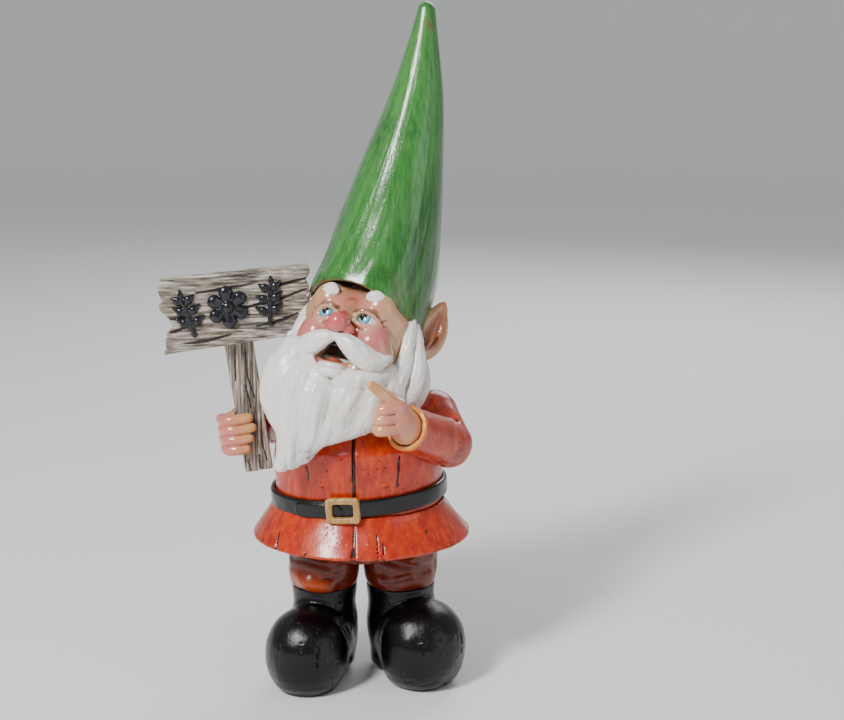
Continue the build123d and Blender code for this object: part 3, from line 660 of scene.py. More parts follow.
clay = Clay((-36, -49, -30), (36, -18, -2), 0.5)
for side in (-1, 1):
    for number, (drop, thick, out) in enumerate(((0, 1.0, 0), (-3.2, 0.82, -1.0), (2.6, 0.7, 0.6))):
        strand = bend([(side * 1.2, -38.6, -10.6 + drop * 0.3, 2.6 * thick),
                       (side * 6, -38.6, -12.0 + drop * 0.7, 4.1 * thick),
                       (side * 13, -36.6 - out, -15.4 + drop, 5.4 * thick),
                       (side * 21, -31.6 - out, -18.0 + drop, 5.0 * thick),
                       (side * 27, -27.2 - out, -16.6 + drop * 0.6, 3.2 * thick),
                       (side * 30.0, -24.8 - out, -13.0 + drop * 0.3, 1.3 * thick)], 20)
        clay.limb(strand, 0.6, ridges=12, groove=0.32, turn=number)
points, quads = clay.skin()
strand_at = np.stack([points[:, 0] / 9, points[:, 1], points[:, 2] + np.abs(points[:, 0]) * 0.28], 1)
strands = (noise(strand_at, (1, 2.0, 1.5), 14) - 0.5) * 0.75
strands += (noise(strand_at, (1, 1.0, 0.75), 15) - 0.5) * 0.35
points = points + normals(points, quads) * strands[:, None]
piece("painted_moustache", points, quads, WHITE, stands_for=["moustache"],
      paint=tint(IVORY, points), axes=HEAD)

# ---------------------------------------------------------------- beard
clay = Clay((-56, -66, 136), (44, 4, 226), 0.62)
clay.limb([(-22, -32, 187, 21.5), (-4, -32, 184, 20)], 6)
clay.limb([(-40, -24, 196, 8.5), (-39, -32, 184, 12)], 5)
clay.limb([(25, -27, 196, 8.5), (13, -36, 176, 12.5)], 5)
clay.limb([(-28, -40, 176, 14), (-35, -46, 160, 9)], 5)
LOCKS = (
    ((-36, -31, 214, 4.5), (-44, -34, 203, 6.5), (-48, -36, 188, 7.5), (-45.5, -39, 174, 6.5),
     (-42, -43, 163, 3.2)),
    ((-25, -40, 206, 5), (-33, -46, 194, 8), (-37, -49, 178, 8.5), (-36, -51, 163, 7.6),
     (-39, -52, 152, 6.2), (-42, -51.5, 146.5, 4.4)),
    ((-16, -42, 200, 5), (-21, -48, 190, 9), (-25, -50, 176, 9), (-26, -51, 162, 7), (-29, -51, 153, 5),
     (-34, -51, 148, 3.6)),
    ((-8, -41, 199, 5), (-4, -48, 189, 9), (-6, -50, 180, 9.4), (-13, -50, 170, 7.6), (-20, -50, 162, 5),
     (-23, -50, 157, 3)),
    ((1, -37, 197, 6), (7, -44.5, 188, 9), (8, -48, 178, 9.4), (0, -48.5, 170, 7.4), (-9, -49, 164.5, 5.4),
     (-17, -50, 161, 3)),
    ((14, -33, 201, 6), (19, -36, 192, 8), (19, -38, 181, 8), (13, -42, 173, 6.4), (4, -45, 167, 4.2)),
    ((-31, -34, 212, 5), (-40, -38, 200, 7), (-43, -41, 186, 7), (-41.5, -44, 172, 6),
     (-39.5, -47, 163, 3)),
)
for number, lock in enumerate(LOCKS):
    clay.limb(bend(lock, 20), 4.5, ridges=9 + number % 3, groove=0.2, turn=number * 0.7)
chin = moved(HEAD, (-9, -31.5, -29.0, 2.2), (-4, -35.2, -30.6, 3.0), (4, -35.2, -30.6, 3.0),
             (9, -31.5, -29.0, 2.2))
for side in (-1, 1):
    jaw = moved(HEAD, (side * 7, -31, -32, 4.6), (side * 15, -28.5, -30.5, 5.8),
                (side * 23, -22.5, -26, 5.8), (side * 29, -15, -18, 4.4))
    clay.limb(bend(jaw, 16), 3.0, ridges=12, groove=0.3, turn=side)
clay.limb(moved(HEAD, (-5, -37, -18, 5.5), (5, -37, -18, 5.5)), 0.5, cut=True)
clay.limb(moved(HEAD, (-6, -31, -21, 6.4), (6, -31, -21, 6.4)), 0.5, cut=True)
clay.limb(bend(chin, 12), 0.8)
for start, end in (((-18, -62, 196), (-14, -62, 176)), ((-30, -59, 190), (-31, -60, 164)),
                   ((-8, -62, 193), (-16, -60, 172)), ((2, -59, 196), (2, -60, 180))):
    middle = (np.array(start) + end) / 2 + (2.0, 0, 0)
    clay.limb(bend([(*start, 0.3), (*middle, 0.9), (*end, 0.3)]), 1.2, cut=True)
for x, z in ((-25, 152), (-27, 155), (-24, 156), (-26, 149)):
    clay.limb([(x, -56.5, z, 0.8), (x - 0.5, -56, z - 4, 0.5)], 0.8, cut=True)
points, quads = clay.skin()
TIP = np.array([-46.0, -51.0, 132.0])
sweep = np.arctan2(points[:, 0] - TIP[0], points[:, 2] - TIP[2])
reach = np.linalg.norm(points - TIP, axis=1)
strand_at = np.stack([sweep * reach**0.6 * 2.4 + noise(points, (16, 16, 16), 6) * 3.5, points[:, 1] / 6,
                      reach / 26], 1)
strands = (noise(strand_at, (1.9, 1.6, 1), 12) - 0.5) * 1.5
strands += (noise(strand_at, (0.42, 0.8, 0.8), 13) - 0.5) * 0.42
points = points + normals(points, quads) * strands[:, None]
paint = tint(IVORY, points)
# painted shade: the beard turns greyer on its lower underside
beard_underside_shade = np.clip((points[:, 0] * 0.35 + 165 - points[:, 2]) / 8, 0, 1) * np.clip((points[:, 0] + 26) / 10, 0,
                                                                                1)
paint = mix(paint, linear(150, 132, 116), beard_underside_shade * (points[:, 1] > -56) * 0.7)
rough = near(points, (-26, -57, 153), 5, 0.8) * (noise(points, (0.9, 0.9, 2.5), 4) > 0.5)
paint = mix(paint, linear(116, 110, 104), rough * 0.9)
paint = mix(paint, linear(214, 206, 188), near(points, (-9, -62, 180), 9, 1.0)
            * noise(points, (5, 5, 5), 9) * 0.5)
piece("painted_beard", points, quads, WHITE, stands_for=["beard"], paint=paint)

# ---------------------------------------------------------------- hair
clay = Clay((-44, -40, -46), (50, 44, 34), 0.7)
clay.limb([(0, 3, -1, 35.2)], 2)
clay.limb([(0, 0, 0, 33.8)], 0.5, cut=True)
clay.keep_side((0, -1, 0.0), -2.5, 1.0)
SIDE_LOCKS = (
    ((31, -9, 20, 2.5), (32, -11, 8, 4.4), (34, -10, -8, 5.0), (33.5, -8, -22, 5.6), (31, -4, -34, 4.2),
     (30, -2, -42, 2.2)),
    ((33, -5, 16, 2.2), (36, -6, 6, 4.2), (40, -4, -8, 5.4), (40.5, -2, -20, 5.8), (38, 1, -31, 4.6),
     (34, 3, -39, 2.0)),
    ((35, 0, 4, 2.5), (39.5, 4, -6, 4.5), (42, 8, -17, 5.6), (39.5, 10, -29, 5.0), (36, 9, -37, 2.4)),
    ((33, 10, 4, 3), (35, 15, -8, 5), (33, 18, -21, 5.4), (30, 18, -33, 4.2)),
)
for side in (-1, 1):
    for number, lock in enumerate(SIDE_LOCKS):
        if side < 0 and number == 2:
            continue
        strand = [(side * x, y, z, r) for x, y, z, r in lock]
        clay.limb(bend(strand, 18), 1.0, ridges=11 + number, groove=0.36, turn=number)
for number in range(9):
    spin = np.radians(-64 + number * 16)
    strand = [(33 * np.sin(spin), 33 * np.cos(spin), 12, 3.5),
              (36 * np.sin(spin), 35 * np.cos(spin), -4, 5.0),
              (34 * np.sin(spin + 0.08), 32 * np.cos(spin + 0.08), -20, 5.6),
              (28 * np.sin(spin + 0.12), 27 * np.cos(spin + 0.12), -33, 4.4)]
    clay.limb(bend(strand, 12), 1.2, ridges=11, groove=0.4, turn=number * 1.3)
clay.limb([(0, 0, 0, 33.8)], 0.5, cut=True)
points, quads = clay.skin()
strand_at = points * (1, 1, 0.09) + noise(points, (14, 14, 14), 16)[:, None] * (4, 4, 0)
strands = (noise(strand_at, (2.1, 2.1, 1), 17) - 0.5) * 0.9 + (noise(strand_at, (0.9, 0.9, 0.8), 18)
                                                               - 0.5) * 0.4
points = points + normals(points, quads) * strands[:, None]
paint = tint(IVORY, points)
# painted shade: pinkish grey hair under the left ear
paint = mix(paint, linear(206, 182, 172), near(points, (40, 10, -18), 12, 1.0) * 0.5)
piece("painted_hair", points, quads, WHITE, stands_for=["hair"], paint=paint, axes=HEAD)

# ---------------------------------------------------------------- ears
for side_name, side in (("right", -1), ("left", 1)):
    first, last = (-58, 26) if side < 0 else (26, 58)
    clay = Clay((first, -14, -16), (last if side > 0 else -26, 34, 44), 0.5)
    blade = ((side * 0.72, -0.66, 0.2), 0.34)
    outline = bend([(side * 33, 4, 15, 3.5), (side * 36.3, 5, 22, 4.6), (side * 39.5, 7.5, 29, 3.6),
                    (side * 42, 9.6, 36, 1.1)], 18)
    clay.limb(outline, 3, flat=blade)
    clay.limb(bend([(side * 36, 7.5, 0, 4.5), (side * 39.5, 10, 8, 7), (side * 41.2, 11.6, 16, 7.6),
                    (side * 41.8, 11.6, 24, 6.0), (side * 42, 10.4, 32, 2.8)], 18), 3, flat=blade)
    hollow = bend([(side * 39.5, 4.2, 7, 2.4), (side * 42, 6.2, 13, 4.3), (side * 43, 7.6, 20, 3.9),
                   (side * 43, 8.4, 27.5, 1.8)], 14)
    clay.limb(hollow, 1.6, cut=True)
    clay.limb(bend([(side * 39, 4.4, 4, 1.3), (side * 41, 4.8, 9, 1.5), (side * 41.5, 7, 15, 1.0)]), 1.4)
    points, quads = clay.skin()
    paint = tint(TAN, points)
    inside = sum(near(points, ball[:3], ball[3] + 1.6, 0.45) for ball in hollow)
    paint = mix(paint, linear(150, 76, 48), np.clip(inside, 0, 1) * 0.9)
    paint = mix(paint, linear(214, 110, 84), near(points, (side * 43, 10, 36), 5, 0.8) * 0.6)
    piece(f"painted_{side_name}_ear", points, quads, SKIN, stands_for=[f"{side_name}_ear"],
          paint=paint, axes=HEAD)

# ---------------------------------------------------------------- hat
RINGS = np.array([
    (4.6, -1.7, 222, 36, 19, 28, 7), (7.7, 3.8, 232.2, 36.5, 19, 28, 7), (13, 6.5, 248, 34.8, 14, 20, 7),
    (18, 8, 270, 31.6, 8, 14, 8), (26.5, 10.5, 310, 24.6, 0, 9, 9), (35.2, 14.5, 350, 16.4, 0, 7, 9),
    (39.5, 18, 385, 8.7, 0, 6, 6), (41, 20, 401.5, 5.3, 0, 6, 4),
])
BRIM_ARCH, BRIM_SIDE, BRIM_TOP = 80.0, -9.0, 24.0
HAT_WALL, RIM_ROWS = 2.6, 7
columns, rows = ((340, 330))
heights = np.linspace(0, 1, 400)
knots = np.cumsum(np.r_[0, np.linalg.norm(np.diff(RINGS[:, :3], axis=0), axis=1)])
knots /= knots[-1]
smooth = bend(RINGS, 140)
smooth_at = np.linspace(0, 1, len(smooth))
track = np.stack([np.interp(heights, smooth_at, smooth[:, i]) for i in range(7)], 1)


def hat_point(height, spin, inset=0.0):
    """A point on the hat's side, from 0 at the lowest ring to 1 at the highest, at an angle round it."""
    x, y, z, radius, yaw, pitch, roll = (np.interp(height, heights, track[:, i]) for i in range(7))
    cy, sy = np.cos(np.radians(-yaw)), np.sin(np.radians(-yaw))
    cp, sp = np.cos(np.radians(-pitch)), np.sin(np.radians(-pitch))
    cr, sr = np.cos(np.radians(roll)), np.sin(np.radians(roll))
    u, v = (radius - inset) * np.cos(spin), (radius - inset) * np.sin(spin)
    px, py, pz = u, v * cp, v * sp
    px, py = px * cy - py * sy, px * sy + py * cy
    px, pz = px * cr + pz * sr, -px * sr + pz * cr
    return np.stack([x + px, y + py, z + pz], -1)


spins = np.linspace(0, 2 * np.pi, columns, endpoint=False)
starts = []
for spin in spins:
    local = into(HEAD, hat_point(heights, np.full_like(heights, spin)))
    arch = BRIM_TOP - BRIM_ARCH + np.sqrt(np.maximum(BRIM_ARCH**2 - (local[:, 0] - BRIM_SIDE) ** 2, 0))
    above = np.nonzero(local[:, 2] > arch + 0.8)[0]
    starts.append(heights[above[0]] if len(above) else 0.0)
starts = np.array(starts)
wave = np.convolve(np.r_[starts[-5:], starts, starts[:5]], np.ones(11) / 11, "valid")
steps = np.linspace(0, 1, rows) ** 1.05
grid = []
for depth in np.linspace(1, 0, 12):  # the inner wall, from high inside down to the rim
    grid.append(hat_point(wave + depth * 0.22, spins, HAT_WALL))
for turn_at in np.linspace(0, np.pi, RIM_ROWS)[1:-1]:
    inset = HAT_WALL / 2 + HAT_WALL / 2 * np.cos(turn_at)
    drop = 0.005 * np.sin(turn_at)
    grid.append(hat_point(np.maximum(wave - drop, 0), spins, inset))
first_outer = len(grid)
for step in steps:
    grid.append(hat_point(wave + (1 - wave) * step, spins))
tip_centre, tip_radius = track[-1, :3], track[-1, 3]
axis = track[-1, :3] - track[-12, :3]
axis /= np.linalg.norm(axis)
for turn_at in np.linspace(0, np.pi / 2, 12)[1:-1]:
    last = hat_point(np.ones(columns), spins)
    grid.append(tip_centre + (last - tip_centre) * np.cos(turn_at) + axis * tip_radius * np.sin(turn_at))
shape = np.array(grid)
points = shape.reshape(-1, 3)
tip = len(points)
inner = tip + 1
points = np.vstack([points, tip_centre + axis * tip_radius, shape[0].mean(0)])
index = np.arange(tip).reshape(len(grid), columns)
near_side, far_side = index[:-1], index[1:]
quads = np.stack([near_side, np.roll(near_side, -1, 1), np.roll(far_side, -1, 1), far_side], -1).reshape(-1,
                                                                                                         4)
turned_normals = normals(points, quads)
rise = (points[:, 2] - 222) / 180
outer = np.zeros(len(points))
outer[index[first_outer, 0]:tip] = 1
swirl = np.r_[np.tile(spins, len(grid)), 0, 0]
unrolled = np.stack([np.cos(swirl) * 12, np.sin(swirl) * 12, points[:, 2] / 9], 1)
strokes = noise(unrolled, (2.2, 2.2, 3.5), 2) - 0.5
fine_strokes = noise(unrolled, (0.7, 0.7, 5.0), 3) - 0.5
fade = np.clip((1.02 - rise) * 1.4, 0.15, 1)
points = points + turned_normals * (outer * fade * (strokes * 1.1 + fine_strokes * 0.28))[:, None]
paint = tint(linear(56, 122, 52), points)
# painted shade: darker green low down on the hat's left side, away from the light
paint = mix(paint, linear(26, 70, 26), np.clip((into(HEAD, points)[:, 0] - 12) / 16, 0, 1)
            * np.clip((330 - points[:, 2]) / 60, 0, 1) * 0.75)
moss = np.clip((noise(points, (4, 4, 7), 5) - 0.42) * 4, 0, 1)
near_tip = np.clip((points[:, 2] - 376) / 14, 0, 1) * np.clip((404 - points[:, 2]) / 6, 0, 1)
away_side = np.clip((points[:, 0] - 34) / 8, 0, 1)
paint = mix(paint, linear(104, 92, 52), near_tip * away_side * moss * 0.85)
local = into(HEAD, points)
arch = BRIM_TOP - BRIM_ARCH + np.sqrt(np.maximum(BRIM_ARCH**2 - (local[:, 0] - BRIM_SIDE) ** 2, 0))
above_rim = local[:, 2] - arch
low_band = np.clip((22 - above_rim) / 18, 0, 1)
paint = mix(paint, linear(92, 88, 34), low_band * np.clip((local[:, 0] - 12) / 16, 0, 1) * moss * 0.8)
# a dark olive band just above the rim: part moss and part painted shade where the hat meets the head
paint = mix(paint, linear(60, 72, 22), np.clip((3.6 - above_rim) / 3, 0, 1) * (0.4 + 0.6 * moss))
bright = np.clip((noise(unrolled, (1.3, 1.3, 6), 8) - 0.5) * 3, 0, 1)
paint = mix(paint, linear(100, 160, 90), bright * 0.35 * (rise > 0.02))
inside_wall = np.zeros(len(points))
inside_wall[:index[first_outer, 0]] = 1
inside_wall[inner] = 1
paint = mix(paint, linear(126, 92, 52), inside_wall * 0.9)
caps = []
for ring, middle, flip in ((index[-1], tip, False), (index[0], inner, True)):
    for j in range(0, columns, 2):
        trio = (ring[j], ring[(j + 1) % columns], ring[(j + 2) % columns], middle)
        caps.append(trio[::-1] if flip else trio)
quads = np.vstack([quads, np.array(caps)])
# the crease measure here is a band just above the rim, so the dark wash lies there: part grime and part
# painted shade where the hat meets the head
piece("painted_hat", points, quads, GREEN, stands_for=["hat"], paint=paint,
      crease=np.clip((2.0 - above_rim) / 3, 0, 0.5) * outer)

# ---------------------------------------------------------------- coat
BODY = [(130, 0, 0, 51, 44), (140, 0, -0.6, 51.2, 45), (150, 0, -1, 49.8, 44.3), (160, 0, -0.6, 45.5, 40),
        (168, 0, 0, 39.5, 34.5), (177, 0, 0.5, 31, 27.5), (184, 0, 1, 21.5, 19.5)]
BAND = [(106, 0, 0, 50.8, 43.8), (112, 0, 0, 50.6, 43.6), (124, 0, 0, 50.6, 43.6), (130, 0, 0, 51, 44)]


def front(x, z, side=-1, rings=BAND + BODY[1:]):
    """The y of the coat's surface at a place on its front, or on its back."""
    rings = np.array(sorted(rings), float)
    wide, deep = np.interp(z, rings[:, 0], rings[:, 3]), np.interp(z, rings[:, 0], rings[:, 4])
    return side * deep * np.sqrt(max(1 - (x / wide) ** 2, 0))


def seam(clay, line, width=0.7, side=-1, rings=BAND + BODY[1:], soft=0.6):
    """Cuts a groove along the coat through a few x, z places."""
    clay.limb(bend([(x, front(x, z, side, rings), z, width) for x, z in line], 10), soft, cut=True)


rng = np.random.default_rng(7)
for name, side in (("front", -1), ("back", 1)):
    clay = Clay((-54, -47 if side < 0 else -1.5, 104), (54, 1.5 if side < 0 else 48, 187), 0.75)
    clay.ovals(BAND + BODY[1:])
    clay.limb([(1, -8, 210, 34.8)], 1.0, cut=True)
    if side < 0:
        seam(clay, [(-1.0, 172), (-1.3, 150), (-0.9, 130), (-1.1, 108)], 0.9)
        seam(clay, [(24.5, 158), (25, 146), (24, 130)], 0.6)
        seam(clay, [(-29, 142), (-28, 137), (-28.5, 133)], 0.5)
        clay.limb([(-20, -40.8, 131.4, 1.0), (18, -41.6, 131.4, 1.0)], 1.5)
    else:
        seam(clay, [(0.5, 176), (-0.5, 150), (0.3, 108)], 0.6, 1)
    for _ in range(6):
        x, z = rng.uniform(-34, 34), rng.uniform(128, 160)
        y = front(x, z, side)
        clay.limb([(x, y, z, 0.1), (x + rng.uniform(-1, 1), front(x, z - 2.5, side), z - 2.5, 0.3)], 0.5,
                  cut=True)
    clay.keep_side((0, -side, 0), -0.06)
    points, quads = clay.skin()
    points = uneven(points, quads, (9, 9, 12), 11, 0.8, np.abs(points[:, 1]) > 1)
    piece(f"painted_coat_{name}", points, quads, RED, stands_for=[f"coat_{name}"],
          scores=clay.scores)

SKIRT = [(90, 1.5, 0, 66.4, 57.9), (91.5, 1.4, 0, 66.2, 57.7), (98, 0.8, 0, 61.6, 53.6),
         (104, 0.4, 0, 57.0, 49.4), (109, 0.2, 0, 53.8, 46.6), (112.5, 0, 0, 52.0, 45.0)]
LINING = [(86, 1.5, 0, 62.9, 54.3), (90, 1.5, 0, 62.4, 53.8), (98, 0.8, 0, 54, 46.2),
          (106, 0, 0, 50.9, 43.9), (115, 0, 0, 50.9, 43.9)]
clay = Clay((-68, -61, 87), (71, 61, 113), 0.75)
clay.ovals(SKIRT, 0).ovals(LINING, 0.5, cut=True)
CRACKS = ((-47, 97, 9), (12.5, 98, 11), (16, 95, 8), (42, 98, 9), (-30, 92.5, 3), (-57, 94, 4))
for x, z, long in CRACKS:
    for side in (-1, 1):
        if side > 0 and abs(x) > 44:
            continue
        lower, upper = x * 1.03, x * 0.97
        clay.limb([(upper, front(upper, z + long / 2, side, SKIRT), z + long / 2, 0.3),
                   (lower, front(lower, 89, side, SKIRT), 89, 0.9)], 0.5, cut=True)
clay.limb([(-1.2, -45.4, 112, 0.7), (-1.2, -49.4, 104, 0.8), (-1.3, -53.6, 98, 0.9), (-1.6, -58, 89, 1.5)],
          0.6, cut=True)
points, quads = clay.skin()
nicks = noise(points, (2.2, 2.2, 30), 22)
points = uneven(points, quads, (10, 10, 14), 21, 1.0)
hem_rows = np.clip((93 - points[:, 2]) / 3, 0, 1)
points[:, 2] += hem_rows * (nicks - 0.2) * 0.35
piece("painted_coat_skirt", points, quads, RED, stands_for=["coat_skirt"],
      scores=clay.scores)

# ---------------------------------------------------------------- belt and buckle
clay = Clay((-56, -49, -8), (56, 49, 8), 0.55)
outer_rings = [(-5.2, 0, 0, 52.9, 46.0), (-4.2, 0, 0, 53.8, 46.8), (4.2, 0, 0, 53.8, 46.8),
               (5.2, 0, 0, 52.9, 46.0)]
clay.ovals(outer_rings).ovals([(-9, 0, 0, 51.1, 44.1), (9, 0, 0, 51.1, 44.1)], 0, cut=True)
OVERLAP_FROM, OVERLAP_TO = -128.5, -103  # the belt's end lies over itself here, in degrees
clay.limb([(53.4 * np.cos(spin), 46.6 * np.sin(spin), -1.0, 4.2)
           for spin in np.radians(np.linspace(OVERLAP_FROM + 0.5, OVERLAP_TO, 9))], 0.3)
end_x, end_y = 54.5 * np.cos(np.radians(OVERLAP_FROM)), 47.8 * np.sin(np.radians(OVERLAP_FROM))
clay.limb([(end_x, end_y, -6, 0.6), (end_x, end_y, 6, 0.6)], 0.5, cut=True)
clay.depth = np.maximum(clay.depth, np.abs(clay.at[2]) - 5.25)
reach = ((clay.at[0] / 54.3) ** 2 + (clay.at[1] / 47.4) ** 2) ** 0.5
clay.depth = np.maximum(clay.depth, (reach - 1) * 46)
clay.ovals([(-9, 0, 0, 51.1, 44.1), (9, 0, 0, 51.1, 44.1)], 0, cut=True)
points, quads = clay.skin()
outer_face = np.hypot(points[:, 0] / 54, points[:, 1] / 47) > 0.98
points = uneven(points, quads, (7, 7, 5), 31, 0.5, outer_face)
piece("painted_belt", points, quads, LEATHER, stands_for=["belt"], axes=BELT)

BUCKLE = turned((-7.5, -47.6, 117.6), 7.0, 0, -3.0)
clay = Clay((-13, -4, -11), (13, 4, 11), 0.3)


def slab(at, half, corner):
    """Distance to a box with rounded corners."""
    away = [np.abs(at[i]) - half[i] + corner for i in range(3)]
    outside = np.sqrt(sum(np.maximum(a, 0) ** 2 for a in away))
    return outside + np.minimum(np.maximum(np.maximum(away[0], away[1]), away[2]), 0) - corner


clay.depth = slab(clay.at, (10.2, 1.9, 8.0), 1.8)
clay.depth = np.maximum(clay.depth, slab(clay.at, (10.2, 9, 8.0), 3.6))
hole = slab(clay.at, (6.2, 9, 4.0), 1.6)
clay.depth = -blend_min(-clay.depth, hole, 1.2)
points, quads = clay.skin()
points = uneven(points, quads, (2.4, 2.4, 2.4), 41, 0.35)
piece("painted_buckle", points, quads, GOLD, stands_for=["belt_buckle"], axes=BUCKLE)

# ---------------------------------------------------------------- sleeves and cuffs
SLEEVES = {
    "left": ((45, 4, 162, 15.5), (54, -14, 149, 14.5), (31.5, -50, 167, 13)),
    "right": ((-39, 14, 163, 15), (-57, 42, 148, 14), (-71.5, 24.5, 150, 12)),
}
for name, (shoulder, elbow, wrist) in SLEEVES.items():
    balls = np.array([shoulder, elbow, wrist], float)
    axis = balls[2, :3] - balls[1, :3]
    axis /= np.linalg.norm(axis)
    first, last = (balls[:, :3] - 19).min(0), (balls[:, :3] + 19).max(0)
    clay = Clay(first, last, 0.7)
    clay.limb(balls, 2.0)
    inner = 0.5 * (balls[0, :3] + balls[2, :3])
    for share, size in ((0.25, 1.0), (0.5, 1.3), (0.75, 0.9)):  # folds in the crook of the elbow
        middle = balls[1, :3] + (inner - balls[1, :3]) * 0.42
        side = np.cross(balls[0, :3] - balls[1, :3], axis)
        side /= np.linalg.norm(side)
        at = balls[0, :3] * (1 - share) + balls[2, :3] * share
        at = at * 0.35 + balls[1, :3] * 0.65
        clay.limb([(*(at + side * 14), size * 0.5), (*(middle + side * 6), size),
                   (*(middle - side * 6), size), (*(at - side * 14), size * 0.5)], 1.6, cut=True)
    for _ in range(7):
        start = balls[1, :3] + axis * rng.uniform(4, 26)
        side = np.cross(axis, rng.normal(size=3))
        side /= np.linalg.norm(side)
        radius = 13.6
        clay.limb([(*(start + side * radius), 0.1), (*(start + side * radius + axis * 2.5), 0.3)], 0.5,
                  cut=True)
    clay.keep_side(axis, axis @ balls[2, :3] + 0.1)
    if name == "left":
        body_room = [(z, x, y, a + 0.4, b + 0.4) for z, x, y, a, b in BODY[1:]]
        clay.ovals([(100, 0, 0, 51.4, 44.4), (130, 0, 0, 51.4, 44.4), *body_room], 0, cut=True)
    points, quads = clay.skin()
    points = uneven(points, quads, (8, 8, 8), 51, 0.7)
    piece(f"painted_{name}_sleeve", points, quads, RED, stands_for=[f"{name}_sleeve"],
          scores=clay.scores[3:])

    end = balls[2, :3] + axis * 0.3
    radius = balls[2, 3] + 0.4
    clay = Clay(end - 18, end + 20, 0.5)
    clay.limb([(*(end - axis * 6), radius), (*(end + axis * 14), radius)], 0)
    clay.limb([(*(end - axis * 9), radius - 3.2), (*(end + axis * 16), radius - 2.6)], 0.6, cut=True)
    clay.keep_side(axis, axis @ (end + axis * 4.3), 1.2).keep_side(-axis, -axis @ end, 0.4)
    points, quads = clay.skin()
    along = (points - end) @ axis
    centre = end + along[:, None] * axis
    out = np.linalg.norm(points - centre, axis=1)
    points = uneven(points, quads, (3, 3, 3), 61, 0.6)
    paint = tint(linear(190, 66, 14), points)
    paint = mix(paint, linear(232, 138, 62), np.clip((along - 2.6) / 1.2, 0, 1))
    paint = mix(paint, linear(228, 176, 112), np.clip((radius - 0.9 - out) / 0.7, 0, 1) * (along > 1.5))
    piece(f"painted_{name}_cuff", points, quads, CUFF, stands_for=[f"{name}_cuff"],
          paint=paint)

# ---------------------------------------------------------------- hands
wrist = np.array(SLEEVES["left"][2][:3], float)
clay = Clay((4, -76, 160), (42, -42, 206), 0.45)
clay.limb([(*(wrist + (-1.5, -3, 1.5)), 10.0), (25.5, -59, 174.5, 9.3), (23.5, -61.5, 181, 8.0)], 1.0,
          flat=((0.35, -0.9, 0.1), 0.86))
clay.limb(bend([(23.5, -62.5, 184.5, 4.2), (17.6, -66.0, 190.8, 3.6), (13.6, -67.4, 194.6, 3.3),
                (10.6, -68.6, 197.2, 2.7)]), 1.2)
clay.limb(bend([(25, -54.5, 183, 4.2), (20.5, -57, 188, 3.6), (16.5, -58.5, 190, 3.0)]), 1.2)
for number, (x, z) in enumerate(((15.8, 183), (14.4, 177), (14.6, 171))):
    clay.limb(bend([(x + 9, -63.6, z + 0.6, 4.0), (x + 4, -66.8, z, 3.7), (x - 0.4, -66.6, z - 0.5, 3.4),
                    (x - 0.8, -62.6, z - 0.8, 3.0)]), 0.7)
    clay.limb(bend([(x + 9, -67.8, z + 3.4, 0.4), (x + 3, -70.4, z + 3.0, 0.6),
                    (x - 3, -69, z + 2.6, 0.5)]), 0.8,
              cut=True)
clay.limb([(12.0, -71.0, 197.2, 0.6), (10.0, -70.8, 198.6, 0.5)], 0.8, cut=True)
axis = np.array(SLEEVES["left"][2][:3], float) - SLEEVES["left"][1][:3]
axis /= np.linalg.norm(axis)
clay.keep_side(-axis, -axis @ (wrist + axis * 1.0))
points, quads = clay.skin()
paint = tint(linear(222, 158, 122), points)
paint = mix(paint, linear(214, 134, 122), near(points, (24, -66, 178), 11, 0.7) * 0.8)
paint = mix(paint, linear(206, 148, 98), near(points, (10.5, -68.5, 196.8), 6.5, 0.7) * 0.9)
paint = mix(paint, linear(226, 176, 128), near(points, (13, -67, 177), 6.5, 0.8) * 0.6)
piece("painted_left_hand", points, quads, SKIN, stands_for=["left_hand"], paint=paint)

clay = Clay((-24, -16, -16), (10, 22, 20), 0.45)
clay.limb([(-11.5, 3, -3.5, 9.6), (-10.5, 3.5, 4.5, 9.4)], 1)
clay.limb([(-11, 4, 0, 9), (-8, 16, -1, 8.6)], 2)
clay.limb(bend([(-10, 9.5, 4, 4.8), (-4, 10.6, 7, 4.2), (1.5, 10, 8.4, 3.7)]), 1)
REACH = {11.0: 0.8, 4.8: 1.9, -1.4: -0.6, -7.6: -3.3}
for z, far in REACH.items():
    clay.limb(bend([(-17.2, -1.5, z, 3.7), (-15.8, -6.2, z, 3.6), (-11.5, -8.5, z - 0.2, 3.4),
                    (far - 5, -8.6, z - 0.3, 3.2), (far - 2.4, -8.4, z - 0.3, 2.9)]), 0.5)
post = slab(clay.at, (9.05, 5.0, 60), 0.6)
clay.depth = -blend_min(-clay.depth, post, 0)
sleeve_axis = into(SIGN, SLEEVES["right"][2][:3]) - into(SIGN, SLEEVES["right"][1][:3])
sleeve_axis /= np.linalg.norm(sleeve_axis)
clay.keep_side(-sleeve_axis, -sleeve_axis @ (into(SIGN, SLEEVES["right"][2][:3]) + sleeve_axis * 1.0))
points, quads = clay.skin()
paint = tint(linear(222, 150, 116), points)
knuckles = np.clip((-points[:, 0] - 10) / 5, 0, 1)
paint = mix(paint, linear(212, 126, 116), knuckles * 0.9)
tips = np.clip((points[:, 0] + 9) / 6, 0, 1)
paint = mix(paint, linear(226, 176, 124), tips * 0.9)
piece("painted_right_hand", points, quads, SKIN, stands_for=["right_hand"], paint=paint,
      axes=SIGN)

